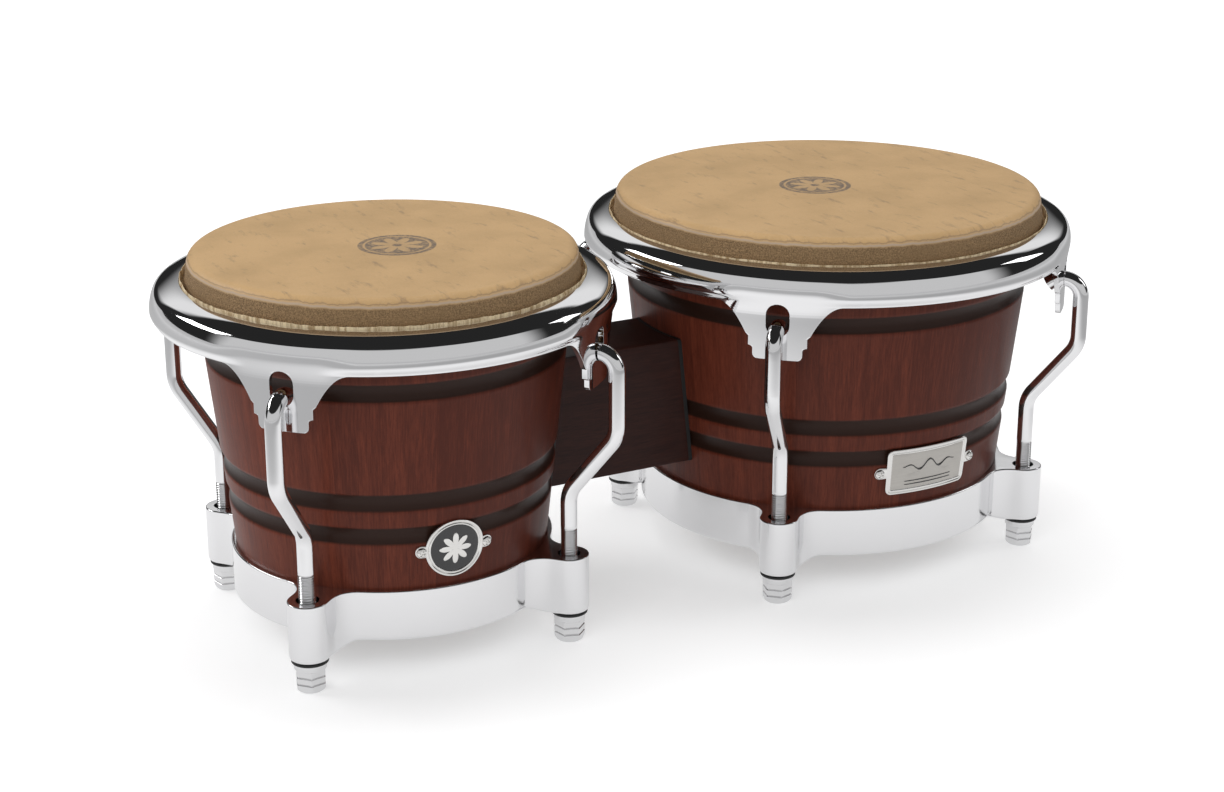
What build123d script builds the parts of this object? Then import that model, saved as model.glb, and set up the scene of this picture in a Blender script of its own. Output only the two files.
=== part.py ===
from build123d import *
import os
from dataclasses import dataclass
from math import asin, cos, degrees, radians, sin, sqrt

# Bongo drums: a small and a large wooden drum joined by a centre block.
# Millimetres, +Z up. X runs from the small drum to the large one, and Y from the player's
# front to the back. The origin is on the floor under the middle of the object's box.

# ---- heads and layout ----
small_head_radius = 92.0
large_head_radius = 109.5
rim_gap = 13.1
small_lug_standoff = 0.3
large_lug_standoff = -1.2
small_lug_turn = -3.2
large_lug_turn = 1.1

# ---- shells ----
shell_height = 164.0
shell_wall = 9.0
shell_taper = 0.108
bearing_edge_radius = 4.0
shell_mouth_chamfer = 1.5
cove_heights = (49.0, 65.9, 120.2)
cove_width = 9.6
cove_depth = 1.7

# ---- skins and flesh hoops ----
skin_thickness = 1.0
skin_gap = 0.3
hoop_width = 5.2
hoop_height = 8.0
hoop_corner = 1.6
tail_rise = 3.0
tail_thickness = 0.9
tail_clearance = 0.1
tail_backing = 0.3
tail_lap = 0.5

# ---- rims and their ears ----
rim_drop = 12.4
rim_height = 17.3
rim_plate = 2.6
rim_inner_gap = 3.7
rim_roll_radius = 5.0
rim_bulge = 2.0
rim_tuck = 3.6
ear_drop = 27.0
ear_tip_half_width = 12.2
ear_tip_height = 5.0
ear_tip_corner = 2.5
ear_step_slope = 1.4
ear_shoulder_half_width = 14.4
ear_shoulder_height = 11.0
ear_flare_half_width = 31.0
ear_flare_lean = 0.36
ear_flare_level = 0.6
ear_flare_lap = 0.4
slot_play = 3.56
slot_bridge = 11.4
slot_rise = 0.7

# ---- tuning rods, nuts and washers ----
rod_radius = 3.97
rod_offset = 24.2
rod_bend_radius = 15.0
rod_end_height = 5.5
rod_end_chamfer = 0.8
small_crank_shift = 0.0
large_crank_shift = 5.4
crank_rise = 30.5
hook_radius = 9.3
hook_turn = 128.0
hook_tip = 2.2
hook_inset = 0.75
nut_height = 14.2
nut_wall = 2.53
nut_collar_height = 3.2
nut_collar_width = 0.2
nut_floor = 1.2
nut_groove_heights = (4.0, 7.4)
nut_groove_width = 0.6
nut_groove_depth = 0.55
nut_chamfer = 1.0
thread_clearance = 0.08
washer_thickness = 1.3
washer_lip = 1.0
washer_play = 0.75
nut_flats = 2 * (rod_radius + nut_wall)
nut_corner_radius = nut_flats / sqrt(3)
nut_collar_radius = nut_corner_radius + nut_collar_width
washer_radius = nut_collar_radius + washer_lip
slot_width = 2 * rod_radius + slot_play

# ---- bottom rings ----
ring_height = 24.9
ring_wall = 2.2
ring_ledge = 3.0
ring_ledge_width = 11.0
ring_clearance = 0.15
boss_wall = 4.1
boss_play = 1.53
boss_drop = 4.0
boss_blend_radius = 12.0
boss_skirt_radius = 13.0
boss_skirt_slope = 2.6
cut_overrun = 1.0
flank_tolerance = 0.5
boss_hole_radius = rod_radius + boss_play
boss_radius = boss_hole_radius + boss_wall
boss_base_height = nut_height + washer_thickness
ring_base_height = boss_base_height + boss_drop
ring_top_height = ring_base_height + ring_height
shell_base_height = ring_base_height + ring_ledge

# ---- centre block and its fixings ----
block_thickness = 44.0
block_height = 66.0
block_rise = 69.5
block_edge_radius = 1.5
pad_thickness = 2.0
pad_gap = 0.05
bolt_spacing = 36.0
bolt_radius = 4.0
bolt_head_height = 5.3
bolt_head_lip = 2.5
bolt_play = 0.4
bolt_end_chamfer = 0.8
insert_wall = 1.5
insert_length = 16.0
insert_recess = 1.2
bolt_engagement = 13.0
thread_fit = 0.02
saddle_width = 26.0
saddle_height = 62.0
saddle_thickness = 3.0
saddle_corner = 4.0
saddle_gap = 0.05
bolt_hole_radius = bolt_radius + bolt_play
bolt_head_flats = 2 * (bolt_radius + bolt_head_lip)
insert_radius = bolt_radius + insert_wall
block_middle_height = shell_base_height + block_rise

# ---- badges ----
badge_thickness = 1.3
badge_seat_gap = 0.05
badge_hole_play = 0.2
small_badge_angle = -91.7
large_badge_angle = -88.7
badge_rise = 18.6
round_badge_radius = 14.4
plate_badge_width = 48.5
plate_badge_height = 24.6
plate_badge_corner = 3.2
plate_inlay_corner = 1.5
badge_tab_radius = 3.1
badge_tab_neck = 4.4
round_badge_screw_reach = 15.9
plate_badge_screw_reach = 27.4
inlay_margin = 2.6
inlay_depth = 0.5
screw_head_radius = 2.5
screw_head_height = 1.3
screw_head_round = 0.7
screw_shank_radius = 1.1
screw_length = 8.0
screw_pilot_gap = 0.5
screw_slot_length = 3.2
screw_slot_width = 0.6
screw_slot_turn = 20.0
screw_slot_depth = 0.6
screw_head_gap = 0.3
screw_fit = 0.05
badge_height = ring_top_height + badge_rise


@dataclass
class Drum:
    """One drum: its driving sizes, and the heights and radii worked out from them."""
    name: str
    head_radius: float
    lug_standoff: float
    lug_turn: float
    crank_shift: float
    badge_angle: float
    centre_x: float = 0.0
    block_side: int = 1

    def __post_init__(self):
        self.lug_radius = self.head_radius + self.lug_standoff
        self.shell_bottom = shell_base_height
        self.shell_top = self.shell_bottom + shell_height
        self.skin_underside = self.shell_top + skin_gap
        self.head_top = self.skin_underside + skin_thickness
        self.shell_top_radius = self.head_radius - skin_thickness
        self.ring_radius = self.shell_radius(ring_top_height) + ring_clearance + ring_wall
        self.rim_top = self.head_top - rim_drop
        self.rim_bottom = self.rim_top - rim_height
        self.rim_inner = self.head_radius + rim_inner_gap
        self.upper_leg = self.lug_radius + rod_offset
        self.hook_centre = self.upper_leg - hook_radius
        self.ear_outer = self.hook_centre + hook_inset
        self.ear_inner = self.ear_outer - rim_plate
        self.rim_radius = self.ear_outer + rim_bulge
        self.hoop_inner = self.rim_inner - tail_thickness - tail_backing
        self.ear_bottom = self.rim_bottom - ear_drop
        self.slot_bottom = self.ear_bottom + slot_bridge
        reach = max(self.ear_outer - self.hook_centre, self.hook_centre - self.ear_inner)
        self.hook_height = self.slot_bottom - sqrt((hook_radius - rod_radius) ** 2 - reach**2)
        crank_middle = (ring_top_height + self.hook_height) / 2 + self.crank_shift
        self.bend_height = crank_middle - crank_rise / 2

    def shell_radius(self, height):
        """Outer radius of the tapered shell at a height above the floor."""
        return self.shell_top_radius - shell_taper * (self.shell_top - height)

    def axis(self):
        return Axis((self.centre_x, 0, 0), (0, 0, 1))

    def section(self, angle=0.0):
        """Plane through the drum's axis: local x is the radius, local y the height."""
        a = radians(angle)
        return Plane((self.centre_x, 0, 0), x_dir=(cos(a), sin(a), 0), z_dir=(sin(a), -cos(a), 0))

    def facing(self, angle, radius=0.0, height=0.0):
        """Plane square to a radius: local x runs round the drum, local y up, and z outwards."""
        a = radians(angle)
        origin = (self.centre_x + radius * cos(a), radius * sin(a), height)
        return Plane(origin, x_dir=(-sin(a), cos(a), 0), z_dir=(cos(a), sin(a), 0))

    def level(self, height):
        return Plane((self.centre_x, 0, height))

    def lug_angles(self):
        sides = (("front_left", -135), ("front_right", -45), ("back_right", 45), ("back_left", 135))
        return [(side, angle + self.lug_turn) for side, angle in sides]

    def block_angle(self):
        """Direction from this drum's axis to the centre block."""
        return 0.0 if self.block_side > 0 else 180.0


def save(part, name):
    """Label a finished piece and write its STEP file."""
    part.label = name
    export_step(part, f"parts/{name}.step")


def wall_band(drum, inner, outer, low, high):
    """Ring between two offsets from the tapered shell's outer face, from low to high."""
    with BuildPart() as band:
        with BuildSketch(drum.section()):
            with BuildLine():
                Polyline(
                    (drum.shell_radius(low) + inner, low),
                    (drum.shell_radius(low) + outer, low),
                    (drum.shell_radius(high) + outer, high),
                    (drum.shell_radius(high) + inner, high),
                    close=True,
                )
            make_face()
        revolve(axis=drum.axis())
    return band.part


def bolt_places(drum):
    """Planes on the drum's axis facing the block, one at each bolt's height."""
    heights = (block_middle_height - bolt_spacing / 2, block_middle_height + bolt_spacing / 2)
    return [drum.facing(drum.block_angle(), 0, height) for height in heights]


def badge_screw_places(drum, reach):
    """Planes on the shell's outer face, facing out, one at each badge screw."""
    radius = drum.shell_radius(badge_height)
    turn = degrees(asin(reach / radius))
    return [drum.facing(drum.badge_angle + side * turn, radius, badge_height) for side in (-1, 1)]


def make_shell(drum, screw_reach):
    """Tapered stave shell with a rounded bearing edge, coves, and holes for its fixings."""
    low, high = drum.shell_bottom, drum.shell_top
    cove_radius = (cove_width**2 / 4 + cove_depth**2) / (2 * cove_depth)
    with BuildPart() as shell:
        with BuildSketch(drum.section()):
            with BuildLine():
                Polyline(
                    (drum.shell_radius(low) - shell_wall, low),
                    (drum.shell_radius(low), low),
                    (drum.shell_radius(high), high),
                    (drum.shell_radius(high) - shell_wall, high),
                    close=True,
                )
            make_face()
            for height in cove_heights:
                centre = drum.shell_radius(low + height) - cove_depth + cove_radius
                with Locations((centre, low + height)):
                    Circle(cove_radius, mode=Mode.SUBTRACT)
        revolve(axis=drum.axis())
        rims = shell.edges().filter_by(GeomType.CIRCLE)
        fillet(rims.group_by(Axis.Z)[-1].sort_by(SortBy.RADIUS)[-1], bearing_edge_radius)
        rims = shell.edges().filter_by(GeomType.CIRCLE)
        chamfer(rims.group_by(Axis.Z)[-1].sort_by(SortBy.RADIUS)[0], shell_mouth_chamfer)
        for place in bolt_places(drum):
            with BuildSketch(place):
                Circle(bolt_hole_radius)
            extrude(amount=drum.head_radius, mode=Mode.SUBTRACT)
        for place in badge_screw_places(drum, screw_reach):
            with BuildSketch(place.offset(cut_overrun)):
                Circle(screw_shank_radius + screw_fit)
            extrude(amount=-screw_length - cut_overrun, mode=Mode.SUBTRACT)
    return shell.part


def make_head(drum):
    """Skin over the bearing edge, its collar, and the wrap and trimmed tail round the hoop."""
    outer_round = bearing_edge_radius + skin_thickness
    wrap_top = drum.rim_top - rim_plate
    wrap_bottom = wrap_top - hoop_height - 2 * skin_thickness
    wrap_inner = drum.hoop_inner - skin_thickness
    wrap_outer = wrap_inner + hoop_width + 2 * skin_thickness
    top, under = drum.head_top, drum.skin_underside
    radius = drum.head_radius
    inner = radius - skin_thickness + skin_gap
    tail_outer = drum.rim_inner - tail_clearance
    tail_inner = tail_outer - tail_thickness
    tail_low, tail_high = wrap_top - tail_lap, drum.rim_top + tail_rise
    with BuildPart() as head:
        with BuildSketch(drum.section()):
            with BuildLine():
                Line((0, under), (0, top))
                Line((0, top), (radius - outer_round, top))
                RadiusArc((radius - outer_round, top), (radius, top - outer_round), outer_round)
                Line((radius, top - outer_round), (wrap_inner + skin_thickness, wrap_top))
                Line((wrap_inner + skin_thickness, wrap_top), (wrap_inner, wrap_top))
                Line((wrap_inner, wrap_top), (inner, under - bearing_edge_radius))
                RadiusArc((inner, under - bearing_edge_radius), (inner - bearing_edge_radius, under),
                          -bearing_edge_radius)
                Line((inner - bearing_edge_radius, under), (0, under))
            make_face()
            with BuildLine():
                Polyline((wrap_inner, wrap_bottom), (wrap_outer, wrap_bottom), (wrap_outer, wrap_top),
                         (wrap_inner, wrap_top), close=True)
            make_face()
            with BuildLine():
                Polyline((tail_inner, tail_low), (tail_outer, tail_low), (tail_outer, tail_high),
                         (tail_inner, tail_high), close=True)
            make_face()
            with BuildLine():
                Polyline((wrap_inner + skin_thickness, wrap_bottom + skin_thickness),
                         (wrap_outer - skin_thickness, wrap_bottom + skin_thickness),
                         (wrap_outer - skin_thickness, wrap_top - skin_thickness),
                         (wrap_inner + skin_thickness, wrap_top - skin_thickness), close=True)
            make_face(mode=Mode.SUBTRACT)
        revolve(axis=drum.axis())
    return head.part


def make_flesh_hoop(drum):
    """Steel hoop that the skin is lapped round, under the rim's flange."""
    top = drum.rim_top - rim_plate - skin_thickness
    with BuildPart() as hoop:
        with BuildSketch(drum.section()):
            with Locations((drum.hoop_inner + hoop_width / 2, top - hoop_height / 2)):
                RectangleRounded(hoop_width, hoop_height, hoop_corner)
        revolve(axis=drum.axis())
    return hoop.part


def make_ear_outline(drum):
    """Half-outline of an ear, mirrored: stepped tip, shoulder and a flare into the skirt."""
    tip, shoulder = ear_tip_half_width, ear_shoulder_half_width
    bottom = drum.ear_bottom
    step = bottom + ear_tip_height
    neck = bottom + ear_shoulder_height
    top = drum.rim_bottom + rim_tuck
    flare_end = (ear_flare_half_width, drum.rim_bottom + ear_flare_lap)
    flare_mid = (shoulder + ear_flare_lean * (ear_flare_half_width - shoulder),
                 neck + ear_flare_level * (drum.rim_bottom - neck))
    with BuildSketch() as outline:
        with BuildLine():
            Line((0, bottom), (tip - ear_tip_corner, bottom))
            RadiusArc((tip - ear_tip_corner, bottom), (tip, bottom + ear_tip_corner), -ear_tip_corner)
            Polyline((tip, bottom + ear_tip_corner), (tip, step), (shoulder, step + ear_step_slope),
                     (shoulder, neck))
            ThreePointArc((shoulder, neck), flare_mid, flare_end)
            Polyline(flare_end, (ear_flare_half_width, top), (0, top), (0, bottom))
        make_face()
        mirror(about=Plane.YZ)
    return outline.sketch


def make_ears(drum):
    """The four ears, cut from a thin cylinder that carries on down from the rim's skirt."""
    outline = make_ear_outline(drum)
    ears = []
    for _, angle in drum.lug_angles():
        with BuildPart() as ear:
            with BuildSketch(drum.facing(angle)):
                add(outline)
            extrude(amount=2 * drum.rim_radius)
            with BuildSketch(drum.level(drum.ear_bottom)):
                Circle(drum.ear_outer)
                Circle(drum.ear_inner, mode=Mode.SUBTRACT)
            extrude(amount=2 * ear_drop, mode=Mode.INTERSECT)
        ears.append(ear.part)
    return ears


def make_rim(drum):
    """Rolled rim: a flange over the hoop, a rounded shoulder, a skirt and four slotted ears."""
    out, top, low, t = drum.rim_radius, drum.rim_top, drum.rim_bottom, rim_plate
    roll = rim_roll_radius
    ears = make_ears(drum)
    with BuildPart() as rim:
        with BuildSketch(drum.section()):
            with BuildLine():
                Line((drum.rim_inner, top - t), (drum.rim_inner, top))
                Line((drum.rim_inner, top), (out - roll, top))
                RadiusArc((out - roll, top), (out, top - roll), roll)
                Line((out, top - roll), (out, low + rim_tuck))
                Line((out, low + rim_tuck), (out - rim_bulge, low))
                Line((out - rim_bulge, low), (out - rim_bulge - t, low))
                Line((out - rim_bulge - t, low), (out - t, low + rim_tuck))
                Line((out - t, low + rim_tuck), (out - t, top - roll))
                RadiusArc((out - t, top - roll), (out - roll, top - t), -(roll - t))
                Line((out - roll, top - t), (drum.rim_inner, top - t))
            make_face()
        revolve(axis=drum.axis())
        add(ears)
        slot_top = low + slot_rise
        slot_middle = (drum.slot_bottom + slot_top) / 2
        for _, angle in drum.lug_angles():
            with BuildSketch(drum.facing(angle)):
                with Locations((0, slot_middle)):
                    SlotOverall(slot_top - drum.slot_bottom, slot_width, rotation=90)
            extrude(amount=2 * out, mode=Mode.SUBTRACT)
    return rim.part


def make_rod(drum, angle):
    """Cranked tuning rod: straight threaded foot, a double bend, and a hook at the top."""
    foot, leg = drum.lug_radius, drum.upper_leg
    bend, rise = drum.bend_height, crank_rise
    with BuildPart() as rod:
        with BuildLine(drum.section(angle)) as path:
            FilletPolyline((foot, rod_end_height), (foot, bend), (leg, bend + rise),
                           (leg, drum.hook_height), radius=rod_bend_radius)
            hook = JernArc(start=(leg, drum.hook_height), tangent=(0, 1), radius=hook_radius,
                           arc_size=hook_turn)
            turned = radians(90 + hook_turn)
            tip = hook_tip * Vector(cos(turned), sin(turned))
            end = drum.section(angle).to_local_coords(hook @ 1)
            Line((end.X, end.Y), (end.X + tip.X, end.Y + tip.Y))
        foot_plane = Plane((drum.section(angle).from_local_coords((foot, rod_end_height))))
        with BuildSketch(foot_plane):
            Circle(rod_radius)
        sweep(path=path.wire())
        ends = rod.faces().filter_by(GeomType.PLANE)
        chamfer(ends.edges(), rod_end_chamfer)
    return rod.part


def make_nut(drum, angle):
    """Closed tuning nut, which is also the drum's foot: collar above, grooved hexagon below."""
    place = drum.facing(angle, drum.lug_radius)
    centre = (place.origin.X, place.origin.Y)
    hex_height = nut_height - nut_collar_height
    with BuildPart() as blank:
        with BuildSketch(Plane((*centre, 0))):
            Circle(nut_corner_radius)
        extrude(amount=hex_height)
        chamfer(blank.edges().group_by(Axis.Z)[0], nut_chamfer)
    with BuildPart() as nut:
        with BuildSketch(Plane((*centre, 0))):
            RegularPolygon(nut_flats / 2, 6, major_radius=False, rotation=angle)
        extrude(amount=hex_height)
        add(blank.part, mode=Mode.INTERSECT)
        with BuildSketch(Plane((*centre, hex_height))):
            Circle(nut_collar_radius)
        extrude(amount=nut_collar_height)
        for height in nut_groove_heights:
            with BuildSketch(Plane((*centre, height))):
                Circle(nut_flats)
                Circle(nut_corner_radius - nut_groove_depth, mode=Mode.SUBTRACT)
            extrude(amount=nut_groove_width, mode=Mode.SUBTRACT)
        with BuildSketch(Plane((*centre, nut_floor))):
            Circle(rod_radius + thread_clearance)
        extrude(amount=nut_height, mode=Mode.SUBTRACT)
    return nut.part


def make_washers(drum):
    """Thin washers between the bosses and the nuts."""
    with BuildPart() as washers:
        with BuildSketch(drum.level(nut_height)):
            with Locations(*[lug_point(drum, angle) for _, angle in drum.lug_angles()]):
                Circle(washer_radius)
                Circle(rod_radius + washer_play, mode=Mode.SUBTRACT)
        extrude(amount=washer_thickness)
    return washers.part


def lug_point(drum, angle):
    """A lug's place on a level plane of its drum."""
    return (drum.lug_radius * cos(radians(angle)), drum.lug_radius * sin(radians(angle)))


def make_bottom_ring(drum):
    """Cast ring round the shell's foot, with a ledge under it and four bosses for the rods."""
    base, top = boss_base_height, ring_top_height
    lugs = [lug_point(drum, angle) for _, angle in drum.lug_angles()]
    seat_low = drum.shell_radius(drum.shell_bottom) + ring_clearance
    seat_high = drum.shell_radius(top) + ring_clearance
    ledge_inner = seat_low - ring_ledge_width
    with BuildPart() as under_band:
        with BuildSketch(drum.level(base)):
            Circle(drum.lug_radius + 2 * boss_radius)
        extrude(amount=ring_base_height - base)
        with Locations(*[(drum.centre_x + x, y, base) for x, y in lugs]):
            Cone(boss_skirt_radius, boss_skirt_radius + boss_skirt_slope * (ring_base_height - base),
                 ring_base_height - base, align=(Align.CENTER, Align.CENTER, Align.MIN), mode=Mode.SUBTRACT)
    with BuildPart() as ring:
        with BuildSketch(drum.level(base)) as outline:
            Circle(drum.ring_radius)
            for (x, y), (_, angle) in zip(lugs, drum.lug_angles()):
                with Locations((x, y)):
                    Circle(boss_radius)
                with Locations((x / 2, y / 2)):
                    Rectangle(drum.lug_radius, 2 * boss_radius, rotation=angle)
            flanks = [v for v in outline.vertices()
                      if abs(Vector(v.X - drum.centre_x, v.Y).length - drum.ring_radius) < flank_tolerance]
            fillet(flanks, boss_blend_radius)
        extrude(amount=top - base)
        add(under_band.part, mode=Mode.SUBTRACT)
        with BuildSketch(drum.section()):
            with BuildLine():
                Polyline((0, base - cut_overrun), (ledge_inner, base - cut_overrun),
                         (ledge_inner, drum.shell_bottom), (seat_low, drum.shell_bottom),
                         (seat_high, top), (seat_high, top + cut_overrun), (0, top + cut_overrun),
                         close=True)
            make_face()
        revolve(axis=drum.axis(), mode=Mode.SUBTRACT)
        with BuildSketch(drum.level(base)):
            with Locations(*lugs):
                Circle(boss_hole_radius)
        extrude(amount=ring_height + ring_base_height, mode=Mode.SUBTRACT)
    return ring.part


def make_badge(drum, outline, margin_outline, reach):
    """Curved badge with a tab and hole at each side, and the inlay set into its face."""
    low, high = badge_height - plate_badge_width, badge_height + plate_badge_width
    plate_wall = wall_band(drum, badge_seat_gap, badge_seat_gap + badge_thickness, low, high)
    inlay_wall = wall_band(drum, badge_seat_gap + badge_thickness - inlay_depth,
                           badge_seat_gap + badge_thickness, low, high)
    deep = 2 * drum.head_radius
    with BuildPart() as inlay:
        with BuildSketch(drum.facing(drum.badge_angle, 0, badge_height)):
            add(margin_outline)
        extrude(amount=deep)
        add(inlay_wall, mode=Mode.INTERSECT)
    with BuildPart() as badge:
        with BuildSketch(drum.facing(drum.badge_angle, 0, badge_height)):
            add(outline)
            Rectangle(2 * reach, badge_tab_neck)
            with Locations((-reach, 0), (reach, 0)):
                Circle(badge_tab_radius)
        extrude(amount=deep)
        add(plate_wall, mode=Mode.INTERSECT)
        add(inlay.part, mode=Mode.SUBTRACT)
        for place in badge_screw_places(drum, reach):
            with BuildSketch(place):
                Circle(screw_shank_radius + badge_hole_play)
            extrude(amount=4 * badge_thickness, both=True, mode=Mode.SUBTRACT)
    return badge.part, inlay.part


def make_badge_screws(drum, reach):
    """Two small round-head screws with crossed slots."""
    seat = badge_seat_gap + badge_thickness + screw_head_gap
    pieces = []
    for place in badge_screw_places(drum, reach):
        with BuildPart() as screw:
            with BuildSketch(place):
                Circle(screw_shank_radius)
            extrude(amount=-(screw_length - screw_pilot_gap))
            with BuildSketch(place):
                Circle(screw_shank_radius)
            extrude(amount=seat)
            with BuildSketch(place.offset(seat)):
                Circle(screw_head_radius)
            extrude(amount=screw_head_height)
            outward = Axis(place.origin, place.z_dir)
            fillet(screw.faces().sort_by(outward)[-1].edges(), screw_head_round)
            with BuildSketch(place.offset(seat + screw_head_height)):
                for turn in (screw_slot_turn, screw_slot_turn + 90):
                    Rectangle(screw_slot_length, screw_slot_width, rotation=turn)
            extrude(amount=-screw_slot_depth, mode=Mode.SUBTRACT)
        pieces.append(screw.part)
    return Compound(children=pieces)


def make_centre_block(drums):
    """Hardwood block between the drums, its ends coped to the shells less the pads."""
    small, large = drums
    low, high = block_middle_height - block_height, block_middle_height + block_height
    with BuildPart() as block:
        with BuildSketch(small.facing(0, 0, block_middle_height)):
            RectangleRounded(block_thickness, block_height, block_edge_radius)
        extrude(amount=large.centre_x - small.centre_x)
        for drum in drums:
            add(wall_band(drum, -drum.head_radius / 2, pad_thickness, low, high), mode=Mode.SUBTRACT)
            for place in bolt_places(drum):
                start = drum.shell_radius(place.origin.Z) + pad_thickness
                with BuildSketch(place.offset(start - cut_overrun)):
                    Circle(insert_radius)
                extrude(amount=insert_length + cut_overrun, mode=Mode.SUBTRACT)
        keep = block.solids().sort_by_distance((block_middle_x(drums), 0, block_middle_height))[0]
        add(keep, mode=Mode.INTERSECT)
    return block.part


def block_middle_x(drums):
    """Middle of the gap between the two shells."""
    small, large = drums
    left = small.centre_x + small.shell_radius(block_middle_height)
    right = large.centre_x - large.shell_radius(block_middle_height)
    return (left + right) / 2


def make_block_pad(drum):
    """Rubber pad between the block's coped end and the shell."""
    low, high = block_middle_height - block_height, block_middle_height + block_height
    with BuildPart() as pad:
        with BuildSketch(drum.facing(drum.block_angle(), 0, block_middle_height)):
            RectangleRounded(block_thickness, block_height, block_edge_radius)
            with Locations((0, -bolt_spacing / 2), (0, bolt_spacing / 2)):
                Circle(bolt_hole_radius, mode=Mode.SUBTRACT)
        extrude(amount=2 * drum.head_radius)
        add(wall_band(drum, pad_gap, pad_thickness, low, high), mode=Mode.INTERSECT)
    return pad.part


def saddle_face(drum):
    """Distance from the drum's axis to the saddle's flat inner face."""
    low = block_middle_height - saddle_height / 2
    inner = drum.shell_radius(low) - shell_wall
    return sqrt(inner**2 - saddle_width**2 / 4) - saddle_thickness


def make_saddle(drum):
    """Backing plate inside the shell: curved to the wall outside, flat under the bolt heads."""
    low, high = block_middle_height - block_height, block_middle_height + block_height
    with BuildPart() as saddle:
        with BuildSketch(drum.facing(drum.block_angle(), saddle_face(drum), block_middle_height)):
            RectangleRounded(saddle_width, saddle_height, saddle_corner)
            with Locations((0, -bolt_spacing / 2), (0, bolt_spacing / 2)):
                Circle(bolt_hole_radius, mode=Mode.SUBTRACT)
        extrude(amount=shell_wall + saddle_thickness)
        add(wall_band(drum, -shell_wall - saddle_gap, shell_wall, low, high), mode=Mode.SUBTRACT)
    return saddle.part


def make_block_bolts(drum):
    """Hexagon bolts from inside the shell, through the saddle and wall, into the block."""
    pieces = []
    for place in bolt_places(drum):
        seat = saddle_face(drum)
        end = drum.shell_radius(place.origin.Z) + pad_thickness + bolt_engagement
        with BuildPart() as bolt:
            with BuildSketch(place.offset(seat - bolt_head_height)):
                RegularPolygon(bolt_head_flats / 2, 6, major_radius=False)
            extrude(amount=bolt_head_height)
            with BuildSketch(place.offset(seat)):
                Circle(bolt_radius)
            extrude(amount=end - seat)
            inward = Axis(place.origin, place.z_dir)
            chamfer(bolt.faces().sort_by(inward)[-1].edges(), bolt_end_chamfer)
        pieces.append(bolt.part)
    return Compound(children=pieces)


def make_block_inserts(drums):
    """Threaded inserts in the block's ends, which the bolts screw into."""
    pieces = []
    for drum in drums:
        for place in bolt_places(drum):
            start = drum.shell_radius(place.origin.Z) + pad_thickness
            with BuildPart() as insert:
                with BuildSketch(place.offset(start + insert_recess)):
                    Circle(insert_radius - thread_fit)
                    Circle(bolt_radius + thread_fit, mode=Mode.SUBTRACT)
                extrude(amount=insert_length - 2 * insert_recess)
            pieces.append(insert.part)
    return Compound(children=pieces)


small = Drum("small", small_head_radius, small_lug_standoff, small_lug_turn, small_crank_shift,
             small_badge_angle)
large = Drum("large", large_head_radius, large_lug_standoff, large_lug_turn, large_crank_shift,
             large_badge_angle, block_side=-1)
axis_spacing = small.rim_radius + rim_gap + large.rim_radius
small.centre_x = -(axis_spacing + large.rim_radius - small.rim_radius) / 2
large.centre_x = small.centre_x + axis_spacing

with BuildSketch() as round_outline:
    Circle(round_badge_radius)
with BuildSketch() as round_inlay:
    Circle(round_badge_radius - inlay_margin)
with BuildSketch() as plate_outline:
    RectangleRounded(plate_badge_width, plate_badge_height, plate_badge_corner)
with BuildSketch() as plate_inlay:
    RectangleRounded(plate_badge_width - 2 * inlay_margin, plate_badge_height - 2 * inlay_margin,
                     plate_inlay_corner)

badges = {
    "small": (round_outline.sketch, round_inlay.sketch, round_badge_screw_reach),
    "large": (plate_outline.sketch, plate_inlay.sketch, plate_badge_screw_reach),
}

os.makedirs("parts", exist_ok=True)
for drum in (small, large):
    outline, margin_outline, reach = badges[drum.name]
    save(make_shell(drum, reach), f"{drum.name}_shell")
    save(make_head(drum), f"{drum.name}_head")
    save(make_flesh_hoop(drum), f"{drum.name}_flesh_hoop")
    save(make_rim(drum), f"{drum.name}_rim")
    save(make_bottom_ring(drum), f"{drum.name}_bottom_ring")
    save(make_washers(drum), f"{drum.name}_washers")
    for side, angle in drum.lug_angles():
        save(make_rod(drum, angle), f"{drum.name}_tuning_rod_{side}")
        save(make_nut(drum, angle), f"{drum.name}_tuning_nut_{side}")
    badge, inlay = make_badge(drum, outline, margin_outline, reach)
    save(badge, f"{drum.name}_badge")
    save(inlay, f"{drum.name}_badge_inlay")
    save(make_badge_screws(drum, reach), f"{drum.name}_badge_screws")
    save(make_block_pad(drum), f"{drum.name}_block_pad")
    save(make_saddle(drum), f"{drum.name}_saddle_plate")
    save(make_block_bolts(drum), f"{drum.name}_block_bolts")
save(make_centre_block((small, large)), "centre_block")
save(make_block_inserts((small, large)), "block_inserts")
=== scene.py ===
from math import asin, atan2, ceil, cos, hypot, pi, radians, sin, sqrt

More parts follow.
